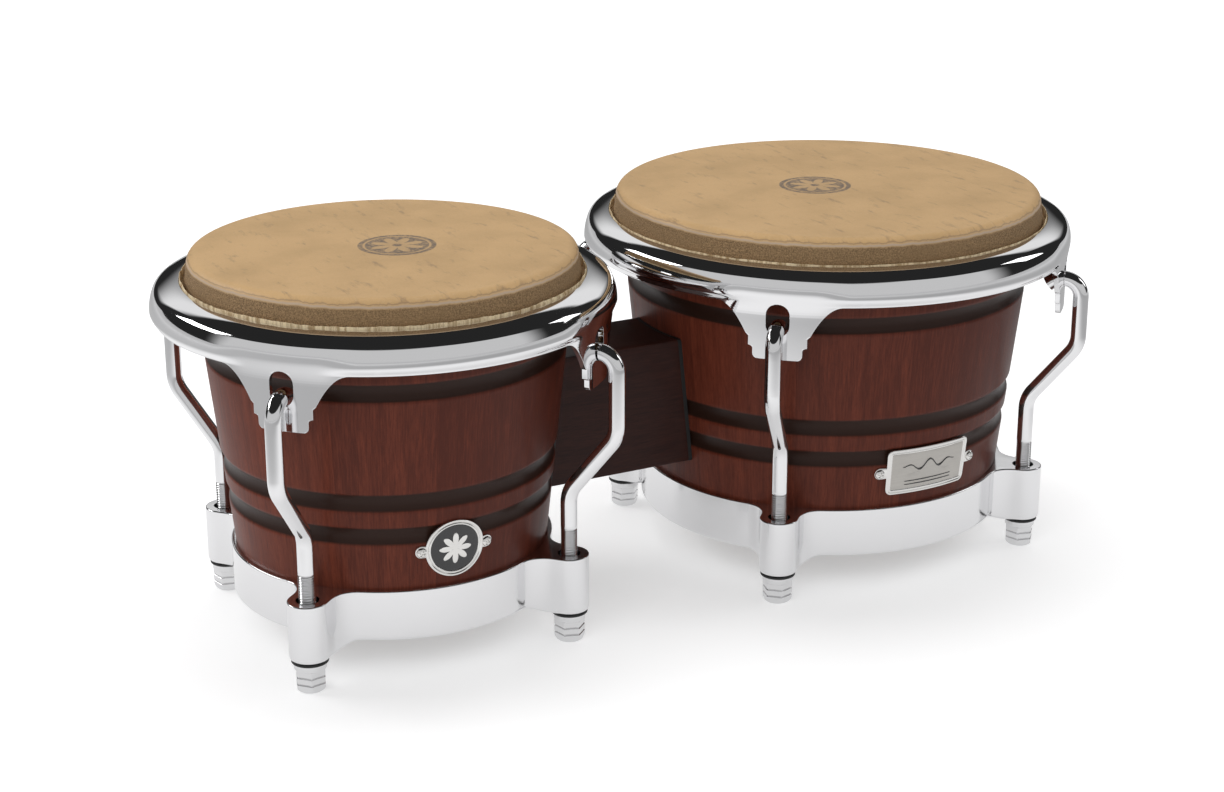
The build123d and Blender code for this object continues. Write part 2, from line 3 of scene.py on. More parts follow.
import bmesh
import bpy
import numpy as np
from bpy.props import FloatProperty, FloatVectorProperty, IntProperty, PointerProperty
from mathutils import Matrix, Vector


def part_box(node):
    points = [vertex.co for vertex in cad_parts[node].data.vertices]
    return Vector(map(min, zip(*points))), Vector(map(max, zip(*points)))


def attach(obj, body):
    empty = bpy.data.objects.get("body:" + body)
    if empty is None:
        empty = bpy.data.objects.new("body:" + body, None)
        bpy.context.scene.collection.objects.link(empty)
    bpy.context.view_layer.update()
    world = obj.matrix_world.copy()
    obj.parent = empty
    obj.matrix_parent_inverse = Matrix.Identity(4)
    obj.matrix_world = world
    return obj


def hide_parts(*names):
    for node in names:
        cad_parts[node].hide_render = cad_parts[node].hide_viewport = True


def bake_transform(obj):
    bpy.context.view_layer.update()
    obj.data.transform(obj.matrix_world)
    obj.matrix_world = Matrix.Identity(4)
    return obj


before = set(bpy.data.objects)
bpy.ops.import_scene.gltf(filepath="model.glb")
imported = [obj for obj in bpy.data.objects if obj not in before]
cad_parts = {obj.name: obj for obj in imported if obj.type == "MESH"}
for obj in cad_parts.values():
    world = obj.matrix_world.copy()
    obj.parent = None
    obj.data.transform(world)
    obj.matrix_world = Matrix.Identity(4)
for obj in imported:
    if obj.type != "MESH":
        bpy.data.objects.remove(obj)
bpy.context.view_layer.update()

bl_info = {
    "name": "Bongo drum pair",
    "version": (1, 0, 0),
    "blender": (4, 5, 0),
    "location": "View3D > Sidebar > Bongos",
    "description": "Shells, skins, rims, tuning rods, cast rings, badges and block of a pair of bongos",
    "category": "Object",
}

MM = 0.001
SIDES = ("front_left", "front_right", "back_right", "back_left")


# ---------------------------------------------------------------- sizes and colours

def length(name, default_mm, description):
    """A length setting, given in millimetres."""
    return FloatProperty(name=name, description=description, default=default_mm * MM, min=0.0,
                         unit="LENGTH", precision=5)


def colour(name, default, description):
    return FloatVectorProperty(name=name, description=description, default=default, size=3,
                               subtype="COLOR", min=0.0, max=1.0)


class ShellSettings(bpy.types.PropertyGroup):
    wall: length("Wall", 9.0, "Thickness of the staves")
    taper: FloatProperty(name="Taper", description="Radius lost per length down the shell", default=0.108)
    cove_width: length("Cove width", 9.6, "Width of each turned groove")
    cove_depth: length("Cove depth", 1.7, "Depth of each turned groove")
    cove_lip: length("Cove lip", 0.22, "Softness of the grooves' edges")
    stave_count: IntProperty(name="Staves", description="Staves round one shell", default=11, min=6)
    wood_light: colour("Light stain", (0.200, 0.046, 0.024), "Stain on the pale part of the grain")
    wood_dark: colour("Dark stain", (0.085, 0.019, 0.011), "Stain in the dark part of the grain")
    cove_stain: colour("Cove stain", (0.028, 0.012, 0.008), "Dark stain in the grooves")
    raw_wood: colour("Raw wood", (0.42, 0.25, 0.13), "Unstained wood inside")


class SkinSettings(bpy.types.PropertyGroup):
    thickness: length("Thickness", 1.0, "Thickness of the skin")
    edge_round: length("Edge round", 5.0, "Rounding over the bearing edge")
    rim_gap: length("Rim gap", 3.7, "From the skin's edge to the rim's inner edge")
    tail_height: length("Tail height", 2.0, "How far the trimmed skin stands above the rim")
    face: colour("Face", (0.585, 0.375, 0.175), "Playing face")
    collar: colour("Collar", (0.315, 0.200, 0.098), "Rough collar below the edge")
    print_radius: length("Print radius", 18.6, "Radius of the printed rosette")
    tail: colour("Tail", (0.930, 0.780, 0.520), "Trimmed end of the skin")
    ink: colour("Ink", (0.100, 0.085, 0.080), "Printed rosette")


class RimSettings(bpy.types.PropertyGroup):
    plate: length("Plate", 2.6, "Thickness of the pressed steel")
    roll: length("Roll", 5.5, "Radius of the rounded shoulder")
    widest: length("Widest", 13.4, "Depth of the widest place below the top")
    bulge: length("Bulge", 2.0, "How far the skirt stands out from the ears")
    tuck: length("Tuck", 3.6, "Height of the turned-in lower lip")
    height: length("Height", 17.3, "Height of the rim without its ears")
    tip_width: length("Ear tip half-width", 12.2, "Half-width at the foot of an ear")
    shoulder_width: length("Ear shoulder half-width", 14.4, "Half-width above the small steps")
    flare_width: length("Ear flare half-width", 31.0, "Half-width where the ear meets the skirt")
    slot_width: length("Slot width", 11.5, "Width of the hook's slot")
    slot_bridge: length("Slot bridge", 11.4, "Metal left below the slot")
    edge: length("Edge rounding", 0.45, "Rounding of the cut edges")
    chrome: colour("Chrome", (0.86, 0.86, 0.87), "Mirror plate")


class RodSettings(bpy.types.PropertyGroup):
    radius: length("Rod radius", 3.97, "Radius of the rod")
    offset: length("Offset", 24.2, "How far the crank carries the rod outwards")
    crank_rise: length("Crank rise", 30.5, "Height of the crank")
    small_crank: length("Small crank height", 75.7, "Height of the small drum's lower bend")
    large_crank: length("Large crank height", 81.1, "Height of the large drum's lower bend")
    bend: length("Bend radius", 15.0, "Radius of the two bends")
    hook: length("Hook radius", 9.3, "Radius of the hook")
    hook_turn: FloatProperty(name="Hook turn", description="How far the hook goes round",
                             default=radians(128), subtype="ANGLE")
    hook_tip: length("Hook tip", 2.2, "Straight end of the hook")
    pitch: length("Thread pitch", 1.25, "Pitch of the thread")
    thread_depth: length("Thread depth", 0.62, "Depth of the thread")
    thread_length: length("Thread length", 52.5, "Threaded length from the foot")
    hex_flats: length("Nut flats", 13.0, "Width across the nut's flats")
    hex_height: length("Nut hexagon", 11.0, "Height of the nut's hexagon")
    groove: length("Nut groove", 0.6, "Width of the grooves round the nut")


class RingSettings(bpy.types.PropertyGroup):
    wall: length("Wall", 2.2, "Wall of the cast ring")
    ledge: length("Ledge", 11.0, "Width of the ledge under the shell")
    boss_radius: length("Boss radius", 9.6, "Radius of a boss")
    boss_hole: length("Boss hole", 5.5, "Radius of the rod's hole")
    boss_drop: length("Boss drop", 4.0, "How far the bosses reach below the ring")
    flank: length("Flank radius", 12.0, "Hollow radius where a boss meets the ring")
    top_round: length("Top rounding", 0.7, "Rounding of the upper edge")
    foot_round: length("Foot rounding", 2.2, "Rounding of the lower edge")
    casting: colour("Casting", (0.83, 0.83, 0.84), "Bright plated casting")


class BadgeSettings(bpy.types.PropertyGroup):
    round_radius: length("Round badge", 14.4, "Radius of the small drum's badge")
    plate_width: length("Plate width", 48.5, "Width of the large drum's plate")
    plate_height: length("Plate height", 24.6, "Height of the large drum's plate")
    plate_corner: length("Plate corner", 3.2, "Corner radius of the plate")
    thickness: length("Thickness", 1.3, "Thickness of a badge")
    tab_radius: length("Tab radius", 3.1, "Radius of the screw tabs")
    border: length("Border", 2.6, "Width of the raised border")
    metal: colour("Badge metal", (0.80, 0.79, 0.77), "Plated border")
    enamel: colour("Enamel", (0.008, 0.008, 0.009), "Dark field")
    silver: colour("Silver field", (0.52, 0.50, 0.47), "Brushed field")


class BlockSettings(bpy.types.PropertyGroup):
    edge: length("Edge rounding", 1.5, "Rounding of the long edges")
    wood_light: colour("Block light", (0.052, 0.017, 0.012), "Pale part of the block's grain")
    wood_dark: colour("Block dark", (0.022, 0.008, 0.007), "Dark part of the block's grain")


class StageSettings(bpy.types.PropertyGroup):
    lens: FloatProperty(name="Lens", description="Focal length in millimetres", default=69.54)
    eye: FloatVectorProperty(name="Eye", description="Where the camera stands", size=3, unit="LENGTH",
                             default=(-0.55117, -0.99521, 0.47904))
    turn: FloatProperty(name="Turn", description="Camera heading from +Y towards +X",
                        default=0.4978, subtype="ANGLE")
    tilt: FloatProperty(name="Tilt", description="Camera tilt above level", default=-0.3286,
                        subtype="ANGLE")
    floor: colour("Floor", (0.86, 0.86, 0.865), "Plain floor")
    floor_glow: FloatProperty(name="Floor glow", description="Light added where the floor is seen directly",
                              default=0.42)
    floor_mirror_glow: FloatProperty(name="Mirror glow", default=0.50,
                                     description="Light added near the drums in reflections")
    key_power: FloatProperty(name="Key light", description="Power of the overhead light", default=13.0)
    side_power: FloatProperty(name="Side light", description="Power of the left softbox", default=7.0)
    fill_power: FloatProperty(name="Fill light", description="Power of the front fill", default=7.0)
    ambient: FloatProperty(name="Ambient", default=0.42,
                           description="Even light from all round on matt surfaces")


# ---------------------------------------------------------------- places, read from the imported parts

class Drum:
    """Places and radii of one drum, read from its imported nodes."""

    def __init__(self, name):
        self.name = name
        self.crown = f"{name}_crown"
        rim_low, rim_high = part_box(f"{name}_rim")
        self.centre = (rim_low.x + rim_high.x) / 2
        self.rim_radius = (rim_high.x - rim_low.x) / 2
        self.rim_top, self.ear_bottom = rim_high.z, rim_low.z
        shell_low, shell_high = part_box(f"{name}_shell")
        self.shell_bottom, self.shell_top = shell_low.z, shell_high.z
        head_low, head_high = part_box(f"{name}_head")
        self.head_top, self.wrap_bottom = head_high.z, head_low.z
        self.wrap_outer = (head_high.x - head_low.x) / 2
        ring_low, ring_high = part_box(f"{name}_bottom_ring")
        self.ring_base, self.ring_top = ring_low.z, ring_high.z
        nut_low, nut_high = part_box(f"{name}_tuning_nut_front_left")
        self.nut_height = nut_high.z
        self.lug = ((nut_low + nut_high) / 2 - Vector((self.centre, 0, 0))).xy
        self.lug_radius = self.lug.length
        self.first_angle = atan2(self.lug.y, self.lug.x)

    def lug_angles(self):
        return [self.first_angle + quarter * pi / 2 for quarter in range(4)]

    def head_radius(self, skin):
        hoop_reach = 5.0 * MM
        return self.wrap_outer - hoop_reach - skin.rim_gap

    def shell_radius(self, height, shell, skin):
        """Radius of the tapered outer face at a height."""
        return self.head_radius(skin) - skin.thickness - shell.taper * (self.shell_top - height)

    def place(self, radius, angle, height):
        return (self.centre + radius * cos(angle), radius * sin(angle), height)


DRUMS = {name: Drum(name) for name in ("small", "large")}


# ---------------------------------------------------------------- mesh helpers

def smoothstep(low, high, value):
    t = np.clip((value - low) / (high - low), 0, 1)
    return t * t * (3 - 2 * t)


def hashed(seed, count):
    """Repeatable random numbers from 0 to 1."""
    return np.random.RandomState(seed).random_sample(count)


def ring_noise(seed, angles, waves):
    """Smooth repeatable noise round a circle, from about -1 to 1."""
    phases = hashed(seed, len(waves)) * 2 * pi
    total = sum(np.sin(wave * angles + phase) / sqrt(k + 1)
                for k, (wave, phase) in enumerate(zip(waves, phases)))
    return total / sqrt(len(waves))


def arc(centre, radius, start, end, steps):
    """Points along an arc in a flat plane, angles in radians."""
    return [(centre[0] + radius * cos(a), centre[1] + radius * sin(a))
            for a in np.linspace(start, end, steps + 1)]


def rounded(corners, steps=4):
    """Closed outline through (x, y, radius) corners, each rounded by its own radius."""
    points = []
    for k, (x, y, radius) in enumerate(corners):
        here = Vector((x, y))
        before = Vector(corners[k - 1][:2]) - here
        after = Vector(corners[(k + 1) % len(corners)][:2]) - here
        if radius <= 0 or before.length < 1e-9 or after.length < 1e-9:
            points.append((x, y))
            continue
        half = before.angle(after) / 2
        back = min(radius / max(np.tan(half), 1e-6), before.length / 2, after.length / 2)
        radius = back * np.tan(half)
        middle = here + (before.normalized() + after.normalized()).normalized() * (radius / sin(half))
        first, last = here + before.normalized() * back, here + after.normalized() * back
        start = atan2(first.y - middle.y, first.x - middle.x)
        turn = atan2(last.y - middle.y, last.x - middle.x) - start
        turn = (turn + pi) % (2 * pi) - pi
        points += arc(middle, radius, start, start + turn, steps)
    return points


def new_piece(name, points, faces, smooth_angle=35.0):
    """Object at the origin with a smooth-shaded mesh that is sharp past an angle."""
    mesh = bpy.data.meshes.new(name)
    mesh.from_pydata([tuple(p) for p in points], [], faces)
    mesh.update()
    tidy(mesh)
    mesh.shade_smooth()
    mesh.set_sharp_from_angle(angle=radians(smooth_angle))
    piece = bpy.data.objects.new(name, mesh)
    bpy.context.scene.collection.objects.link(piece)
    return piece


def tidy(mesh, merge=1e-7):
    """Merges doubled points and turns all faces outwards."""
    work = bmesh.new()
    work.from_mesh(mesh)
    bmesh.ops.remove_doubles(work, verts=work.verts, dist=merge)
    bmesh.ops.recalc_face_normals(work, faces=work.faces)
    work.to_mesh(mesh)
    work.free()


def grid_faces(rows, columns, close_rows, close_columns, first=0):
    """Quads over a grid of points stored row by row."""
    faces = []
    for r in range(rows if close_rows else rows - 1):
        for c in range(columns if close_columns else columns - 1):
            r2, c2 = (r + 1) % rows, (c + 1) % columns
            faces.append((first + r * columns + c, first + r * columns + c2,
                          first + r2 * columns + c2, first + r2 * columns + c))
    return faces


def turned(name, drum, outline, segments=256, bump=None):
    """Solid of revolution round a drum's axis from a closed (radius, height) outline.

    bump(angles, radius, height) may give a change of radius and of height for each point."""
    angles = np.arange(segments) * 2 * pi / segments
    points = []
    for radius, height in outline:
        grow, lift = bump(angles, radius, height) if bump else (0 * angles, 0 * angles)
        points += [drum.place(radius + g, a, height + h) for a, g, h in zip(angles, grow, lift)]
    return new_piece(name, points, grid_faces(len(outline), segments, True, True))


def apply_modifiers(piece):
    """Turns the evaluated object into a plain mesh, and removes its modifiers."""
    evaluated = piece.evaluated_get(bpy.context.evaluated_depsgraph_get())
    mesh = bpy.data.meshes.new_from_object(evaluated)
    old = piece.data
    piece.modifiers.clear()
    if piece.type == "MESH":
        piece.data = mesh
        bpy.data.meshes.remove(old)
        return piece
    result = bpy.data.objects.new(piece.name + "_mesh", mesh)
    bpy.context.scene.collection.objects.link(result)
    name = piece.name
    bpy.data.objects.remove(piece)
    result.name = name
    return result


def soften_edges(piece, width, angle=40.0, segments=2):
    """Rounds the sharp edges and keeps flat faces flat, then applies both."""
    bevel = piece.modifiers.new("Edges", "BEVEL")
    bevel.width, bevel.segments = width, segments
    bevel.limit_method, bevel.angle_limit = "ANGLE", radians(angle)
    bevel.harden_normals = False
    return weigh_normals(piece)


def weigh_normals(piece):
    weighted = piece.modifiers.new("Flat faces", "WEIGHTED_NORMAL")
    weighted.keep_sharp = True
    return apply_modifiers(piece)


def dress(piece, material, body, slot, *nodes):
    """Gives a finished piece its material and body, and hides the CAD nodes it stands for; the slot argument
    is not used.
    """
    piece.data.materials.clear()
    piece.data.materials.append(material)
    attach(piece, body)
    if nodes:
        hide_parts(*nodes)
    return piece


# ---------------------------------------------------------------- node helpers

def wire(tree, kind, inputs=None, **settings):
    """Adds a node, sets its options, and sets or links its inputs by name or place."""
    made = tree.nodes.new(kind)
    for key, value in settings.items():
        setattr(made, key, value)
    for key, value in (inputs or {}).items():
        if isinstance(value, bpy.types.NodeSocket):
            tree.links.new(value, made.inputs[key])
        else:
            made.inputs[key].default_value = value
    return made


def calc(tree, operation, *values, clamp=False):
    return wire(tree, "ShaderNodeMath", dict(enumerate(values)), operation=operation,
                use_clamp=clamp).outputs[0]


def ramp(tree, value, low, high, start=0.0, end=1.0):
    """Value mapped smoothly from low..high to start..end."""
    return wire(tree, "ShaderNodeMapRange", {"Value": value, "From Min": low, "From Max": high,
                "To Min": start, "To Max": end}, interpolation_type="SMOOTHSTEP").outputs["Result"]


def noise(tree, vector, scale, detail=3.0, roughness=0.55):
    return wire(tree, "ShaderNodeTexNoise", {"Vector": vector, "Scale": scale, "Detail": detail,
                "Roughness": roughness}).outputs["Fac"]


def toned(tint, share):
    """The colour made lighter or darker."""
    return tuple(min(1.0, share * c) for c in tint)


def blend_colours(tree, amount, first, second, blend_type="MIX"):
    """Mix of two colours, each a socket or an RGB triple."""
    made = tree.nodes.new("ShaderNodeMix")
    made.data_type, made.blend_type = "RGBA", blend_type
    for place, value in ((0, amount), (6, first), (7, second)):
        if isinstance(value, bpy.types.NodeSocket):
            tree.links.new(value, made.inputs[place])
        elif place == 0:
            made.inputs[place].default_value = value
        else:
            made.inputs[place].default_value = (*value, 1.0)
    return made.outputs[2]


def stretched(tree, vector, x, y, z):
    return wire(tree, "ShaderNodeMapping", {"Vector": vector, "Scale": (x, y, z)}).outputs[0]


def new_group(name, kind, inputs, outputs):
    """Node group with named inputs (socket, name, default) and outputs (socket, name)."""
    tree = bpy.data.node_groups.new(name, kind)
    for socket, label, default in inputs:
        made = tree.interface.new_socket(label, in_out="INPUT", socket_type=socket)
        if default is not None:
            made.default_value = default
    for socket, label in outputs:
        tree.interface.new_socket(label, in_out="OUTPUT", socket_type=socket)
    return tree, tree.nodes.new("NodeGroupInput").outputs, tree.nodes.new("NodeGroupOutput").inputs


def use_group(tree, group, **inputs):
    made = tree.nodes.new("ShaderNodeGroup")
    made.node_tree = group
    for key, value in inputs.items():
        socket = made.inputs[key.replace("_", " ").capitalize()]
        if isinstance(value, bpy.types.NodeSocket):
            tree.links.new(value, socket)
        else:
            socket.default_value = value
    return made.outputs


def edge_wear_group():
    """Mask of worn edges: the convex ones, broken up by noise."""
    tree, given, out = new_group("edge_wear", "ShaderNodeTree",
                                 [("NodeSocketFloat", "Amount", 0.5), ("NodeSocketFloat", "Scale", 300.0)],
                                 [("NodeSocketFloat", "Mask")])
    place = wire(tree, "ShaderNodeTexCoord").outputs["Object"]
    convex = ramp(tree, wire(tree, "ShaderNodeNewGeometry").outputs["Pointiness"], 0.52, 0.60)
    patchy = ramp(tree, noise(tree, place, given["Scale"]), 0.35, 0.65)
    tree.links.new(calc(tree, "MULTIPLY", calc(tree, "MULTIPLY", convex, patchy), given["Amount"]),
                   out["Mask"])
    return tree


def handling_group():
    """Finger marks and hairline scratches on plated metal, as a roughness and a height."""
    tree, given, out = new_group("handling_marks", "ShaderNodeTree",
                                 [("NodeSocketFloat", "Smooth", 0.04), ("NodeSocketFloat", "Marked", 0.12)],
                                 [("NodeSocketFloat", "Roughness"), ("NodeSocketFloat", "Height")])
    place = wire(tree, "ShaderNodeTexCoord").outputs["Object"]
    smears = ramp(tree, noise(tree, place, 22.0, 4.0), 0.45, 0.75)
    hairs = ramp(tree, noise(tree, stretched(tree, place, 260, 1900, 900), 1.0, 2.0), 0.66, 0.74)
    marks = calc(tree, "MAXIMUM", smears, calc(tree, "MULTIPLY", hairs, 0.35))
    spread = calc(tree, "SUBTRACT", given["Marked"], given["Smooth"])
    tree.links.new(calc(tree, "MULTIPLY_ADD", marks, spread, given["Smooth"]), out["Roughness"])
    ripple = noise(tree, place, 45.0, 1.0)
    tree.links.new(calc(tree, "MULTIPLY_ADD", hairs, -0.1, ripple), out["Height"])
    return tree


def dust_group():
    """Faint dust that settles on faces turned upwards."""
    tree, given, out = new_group("settled_dust", "ShaderNodeTree",
                                 [("NodeSocketFloat", "Amount", 0.1)], [("NodeSocketFloat", "Mask")])
    place = wire(tree, "ShaderNodeTexCoord").outputs["Object"]
    up = wire(tree, "ShaderNodeSeparateXYZ",
              {0: wire(tree, "ShaderNodeNewGeometry").outputs["Normal"]}).outputs["Z"]
    specks = ramp(tree, noise(tree, place, 900.0, 2.0), 0.5, 0.8)
    mask = calc(tree, "MULTIPLY", ramp(tree, up, 0.2, 0.9), specks)
    tree.links.new(calc(tree, "MULTIPLY", mask, given["Amount"]), out["Mask"])
    return tree


def grain_group():
    """Wood grain along the second coordinate: a fibre mask, a figure mask and pores."""
    tree, given, out = new_group("wood_grain", "ShaderNodeTree", [("NodeSocketVector", "Along", None)],
                                 [("NodeSocketFloat", "Fibre"), ("NodeSocketFloat", "Figure"),
                                  ("NodeSocketFloat", "Pores")])
    along = given["Along"]
    warp = noise(tree, stretched(tree, along, 30, 9, 1), 1.0, 2.0)
    bent = wire(tree, "ShaderNodeVectorMath", {0: along, 1: wire(tree, "ShaderNodeCombineXYZ", {
        "X": calc(tree, "MULTIPLY", warp, 0.006)}).outputs[0]}, operation="ADD").outputs[0]
    tree.links.new(noise(tree, stretched(tree, bent, 1300, 90, 1), 1.0, 4.0, 0.62), out["Fibre"])
    tree.links.new(noise(tree, stretched(tree, bent, 210, 14, 1), 1.0, 3.0, 0.5), out["Figure"])
    pores = noise(tree, stretched(tree, bent, 1900, 330, 1), 1.0, 2.0)
    tree.links.new(ramp(tree, pores, 0.54, 0.70), out["Pores"])
    return tree


GROUPS = {}


def group(name):
    makers = {"edge_wear": edge_wear_group, "handling": handling_group, "dust": dust_group,
              "grain": grain_group}
    if name not in GROUPS:
        GROUPS[name] = makers[name]()
    return GROUPS[name]


def new_material(name):
    """Material with its Principled shader: (material, tree, shader)."""
    material = bpy.data.materials.new(name)
    material.use_nodes = True
    tree = material.node_tree
    return material, tree, tree.nodes["Principled BSDF"]


def bump(tree, shader, height, strength, distance_mm):
    made = wire(tree, "ShaderNodeBump", {"Height": height, "Strength": strength,
                                         "Distance": distance_mm * MM})
    tree.links.new(made.outputs["Normal"], shader.inputs["Normal"])


def plated(name, tint, smooth, marked, ripple=0.02, dust=0.03, hollow_shade=0.0):
    """Plated metal: handling marks, worn edges, a little dust, and painted shade that darkens its hollows."""
    material, tree, shader = new_material(name)
    marks = use_group(tree, group("handling"), smooth=smooth, marked=marked)
    wear = use_group(tree, group("edge_wear"), amount=0.5, scale=400.0)["Mask"]
    specks = use_group(tree, group("dust"), amount=dust)["Mask"]
    worn = blend_colours(tree, wear, tint, toned(tint, 1.08))
    # Painted shade: in concave places such as thread valleys the colour is darkened towards near black, by
    # the given share.
    hollow = ramp(tree, wire(tree, "ShaderNodeNewGeometry").outputs["Pointiness"], 0.40, 0.50, hollow_shade, 0.0)
    worn = blend_colours(tree, hollow, worn, (0.03, 0.027, 0.024))
    tree.links.new(blend_colours(tree, specks, worn, (0.55, 0.53, 0.50)), shader.inputs["Base Color"])
    shader.inputs["Metallic"].default_value = 1.0
    tree.links.new(calc(tree, "ADD", marks["Roughness"], calc(tree, "MULTIPLY", specks, 0.4)),
                   shader.inputs["Roughness"])
    bump(tree, shader, marks["Height"], ripple, 0.5)
    return material


def stained_wood(name, light, dark, raw=None, cove=None, stave_width=None):
    """Stained and lacquered wood; UV runs across the grain in u and along it in v, in metres."""
    material, tree, shader = new_material(name)
    uv = wire(tree, "ShaderNodeUVMap", uv_map="place").outputs[0]
    parts = wire(tree, "ShaderNodeSeparateXYZ", {0: uv}).outputs
    across, tone, joint = parts["X"], 0.5, None
    if stave_width:
        stave = calc(tree, "DIVIDE", across, stave_width)
        number = calc(tree, "FLOOR", stave)
        tone = wire(tree, "ShaderNodeTexWhiteNoise", {"W": number}, noise_dimensions="1D").outputs["Value"]
        edge = calc(tree, "ABSOLUTE", calc(tree, "SUBTRACT", calc(tree, "FRACT", stave), 0.5))
        joint = ramp(tree, edge, 0.4925, 0.4985)
        shifted = calc(tree, "MULTIPLY_ADD", number, 3.7, across)
        uv = wire(tree, "ShaderNodeCombineXYZ", {"X": shifted, "Y": parts["Y"], "Z": tone}).outputs[0]
    grain = use_group(tree, group("grain"), along=uv)
    depth = calc(tree, "MULTIPLY_ADD", grain["Fibre"], 0.70, calc(tree, "MULTIPLY", grain["Figure"], 0.45))
    depth = calc(tree, "ADD", depth, calc(tree, "MULTIPLY", calc(tree, "SUBTRACT", tone, 0.5), 0.34))
    stain = blend_colours(tree, ramp(tree, depth, 0.30, 0.88), dark, light)
    stain = blend_colours(tree, calc(tree, "MULTIPLY", grain["Pores"], 0.40), stain, dark)
    if joint:
        stain = blend_colours(tree, calc(tree, "MULTIPLY", joint, 0.45), stain, dark)
    sheen = calc(tree, "MULTIPLY_ADD", grain["Fibre"], 0.14, 0.36)
    shader.inputs["Specular IOR Level"].default_value = 0.15
    coat = 0.06
    if cove:
        mask = wire(tree, "ShaderNodeAttribute", attribute_name="cove").outputs["Fac"]
        stain = blend_colours(tree, mask, stain, cove)
    if raw:
        inside = wire(tree, "ShaderNodeAttribute", attribute_name="inside").outputs["Fac"]
        bare = blend_colours(tree, grain["Fibre"], toned(raw, 0.72), raw)
        stain = blend_colours(tree, inside, stain, bare)
        coat = calc(tree, "MULTIPLY", calc(tree, "SUBTRACT", 1.0, inside), 0.06)
    wear = use_group(tree, group("edge_wear"), amount=0.35, scale=160.0)["Mask"]
    stain = blend_colours(tree, wear, stain, light)
    tree.links.new(stain, shader.inputs["Base Color"])
    tree.links.new(sheen, shader.inputs["Roughness"])
    if isinstance(coat, float):
        shader.inputs["Coat Weight"].default_value = coat
    else:
        tree.links.new(coat, shader.inputs["Coat Weight"])
    shader.inputs["Coat Roughness"].default_value = 0.16
    height = calc(tree, "SUBTRACT", grain["Fibre"], grain["Pores"])
    if joint:
        height = calc(tree, "SUBTRACT", height, joint)
    bump(tree, shader, height, 0.25, 0.06)
    return material


def rawhide(drum, skin):
    """Skin: mottled face, dark line over the edge with a painted highlight line below it, speckled collar
    with painted shade and light in its grit, and an inked rosette.
    """
    material, tree, shader = new_material(f"rawhide_{drum.name}")
    place = wire(tree, "ShaderNodeTexCoord").outputs["Object"]
    centred = wire(tree, "ShaderNodeMapping",
                   {"Vector": place, "Location": (-drum.centre, 0, 0)}).outputs[0]
    cloud = noise(tree, centred, 26.0, 5.0, 0.6)
    fibres = noise(tree, stretched(tree, centred, 230, 60, 60), 1.0, 4.0, 0.65)
    pores = ramp(tree, noise(tree, centred, 950.0, 2.0), 0.58, 0.72)
    pale, deep = toned(skin.face, 1.05), toned(skin.face, 0.86)
    face = blend_colours(tree, ramp(tree, cloud, 0.30, 0.80), pale, deep)
    face = blend_colours(tree, calc(tree, "MULTIPLY", ramp(tree, fibres, 0.5, 0.8), 0.30), face, deep)
    face = blend_colours(tree, calc(tree, "MULTIPLY", pores, 0.16), face, skin.collar)
    print_x, print_y = (5.4, -3.4) if drum.name == "small" else (-6.2, 2.2)
    printed = wire(tree, "ShaderNodeMapping",
                   {"Vector": centred, "Location": (-print_x * MM, -print_y * MM, 0)})
    ink = rosette(tree, printed.outputs[0], skin.print_radius)
    patchy = ramp(tree, noise(tree, centred, 700.0, 3.0), 0.30, 0.62, 0.35, 0.85)
    worn_ink = calc(tree, "MULTIPLY", ink, patchy)
    face = blend_colours(tree, worn_ink, face, skin.ink)
    collar = wire(tree, "ShaderNodeAttribute", attribute_name="collar").outputs["Fac"]
    ragged = calc(tree, "ADD", collar, calc(tree, "MULTIPLY", calc(tree, "SUBTRACT", fibres, 0.5), 0.35))
    rough = ramp(tree, ragged, 0.35, 0.70)
    speck = ramp(tree, noise(tree, centred, 1500.0, 3.0, 0.7), 0.34, 0.68)
    # Speckle of the collar: partly the hide's own tone, partly painted shade in the grit's hollows and
    # painted light on its raised bits, as the bump rises with it.
    hollow, raised = toned(skin.collar, 0.52), toned(skin.collar, 1.5)
    fuzz = blend_colours(tree, speck, hollow, raised)
    fuzz = blend_colours(tree, ramp(tree, cloud, 0.3, 0.7, 0.1, 0.6), fuzz, skin.collar)
    tone = blend_colours(tree, rough, face, fuzz)
    # A dark line over the edge, then a pale line below it that is a painted highlight along the edge's round.
    for low, high, tint in ((0.02, 0.16, (0.26, 0.17, 0.10)), (0.10, 0.55, (0.50, 0.42, 0.36))):
        middle = (low + high) / 2
        line = calc(tree, "MULTIPLY", ramp(tree, ragged, low, middle),
                    ramp(tree, ragged, middle, high, 1.0, 0.0))
        tone = blend_colours(tree, calc(tree, "MULTIPLY", line, 0.6), tone, tint)
    specks = use_group(tree, group("dust"), amount=0.10)["Mask"]
    tone = blend_colours(tree, specks, tone, (0.78, 0.70, 0.56))
    tree.links.new(tone, shader.inputs["Base Color"])
    tree.links.new(calc(tree, "MULTIPLY_ADD", rough, 0.32, calc(tree, "MULTIPLY_ADD", cloud, 0.16, 0.42)),
                   shader.inputs["Roughness"])
    grit = calc(tree, "MULTIPLY", calc(tree, "MULTIPLY", speck, rough), 3.0)
    bump(tree, shader, calc(tree, "ADD", grit, calc(tree, "MULTIPLY", fibres, 0.35)), 0.45, 0.25)
    return material


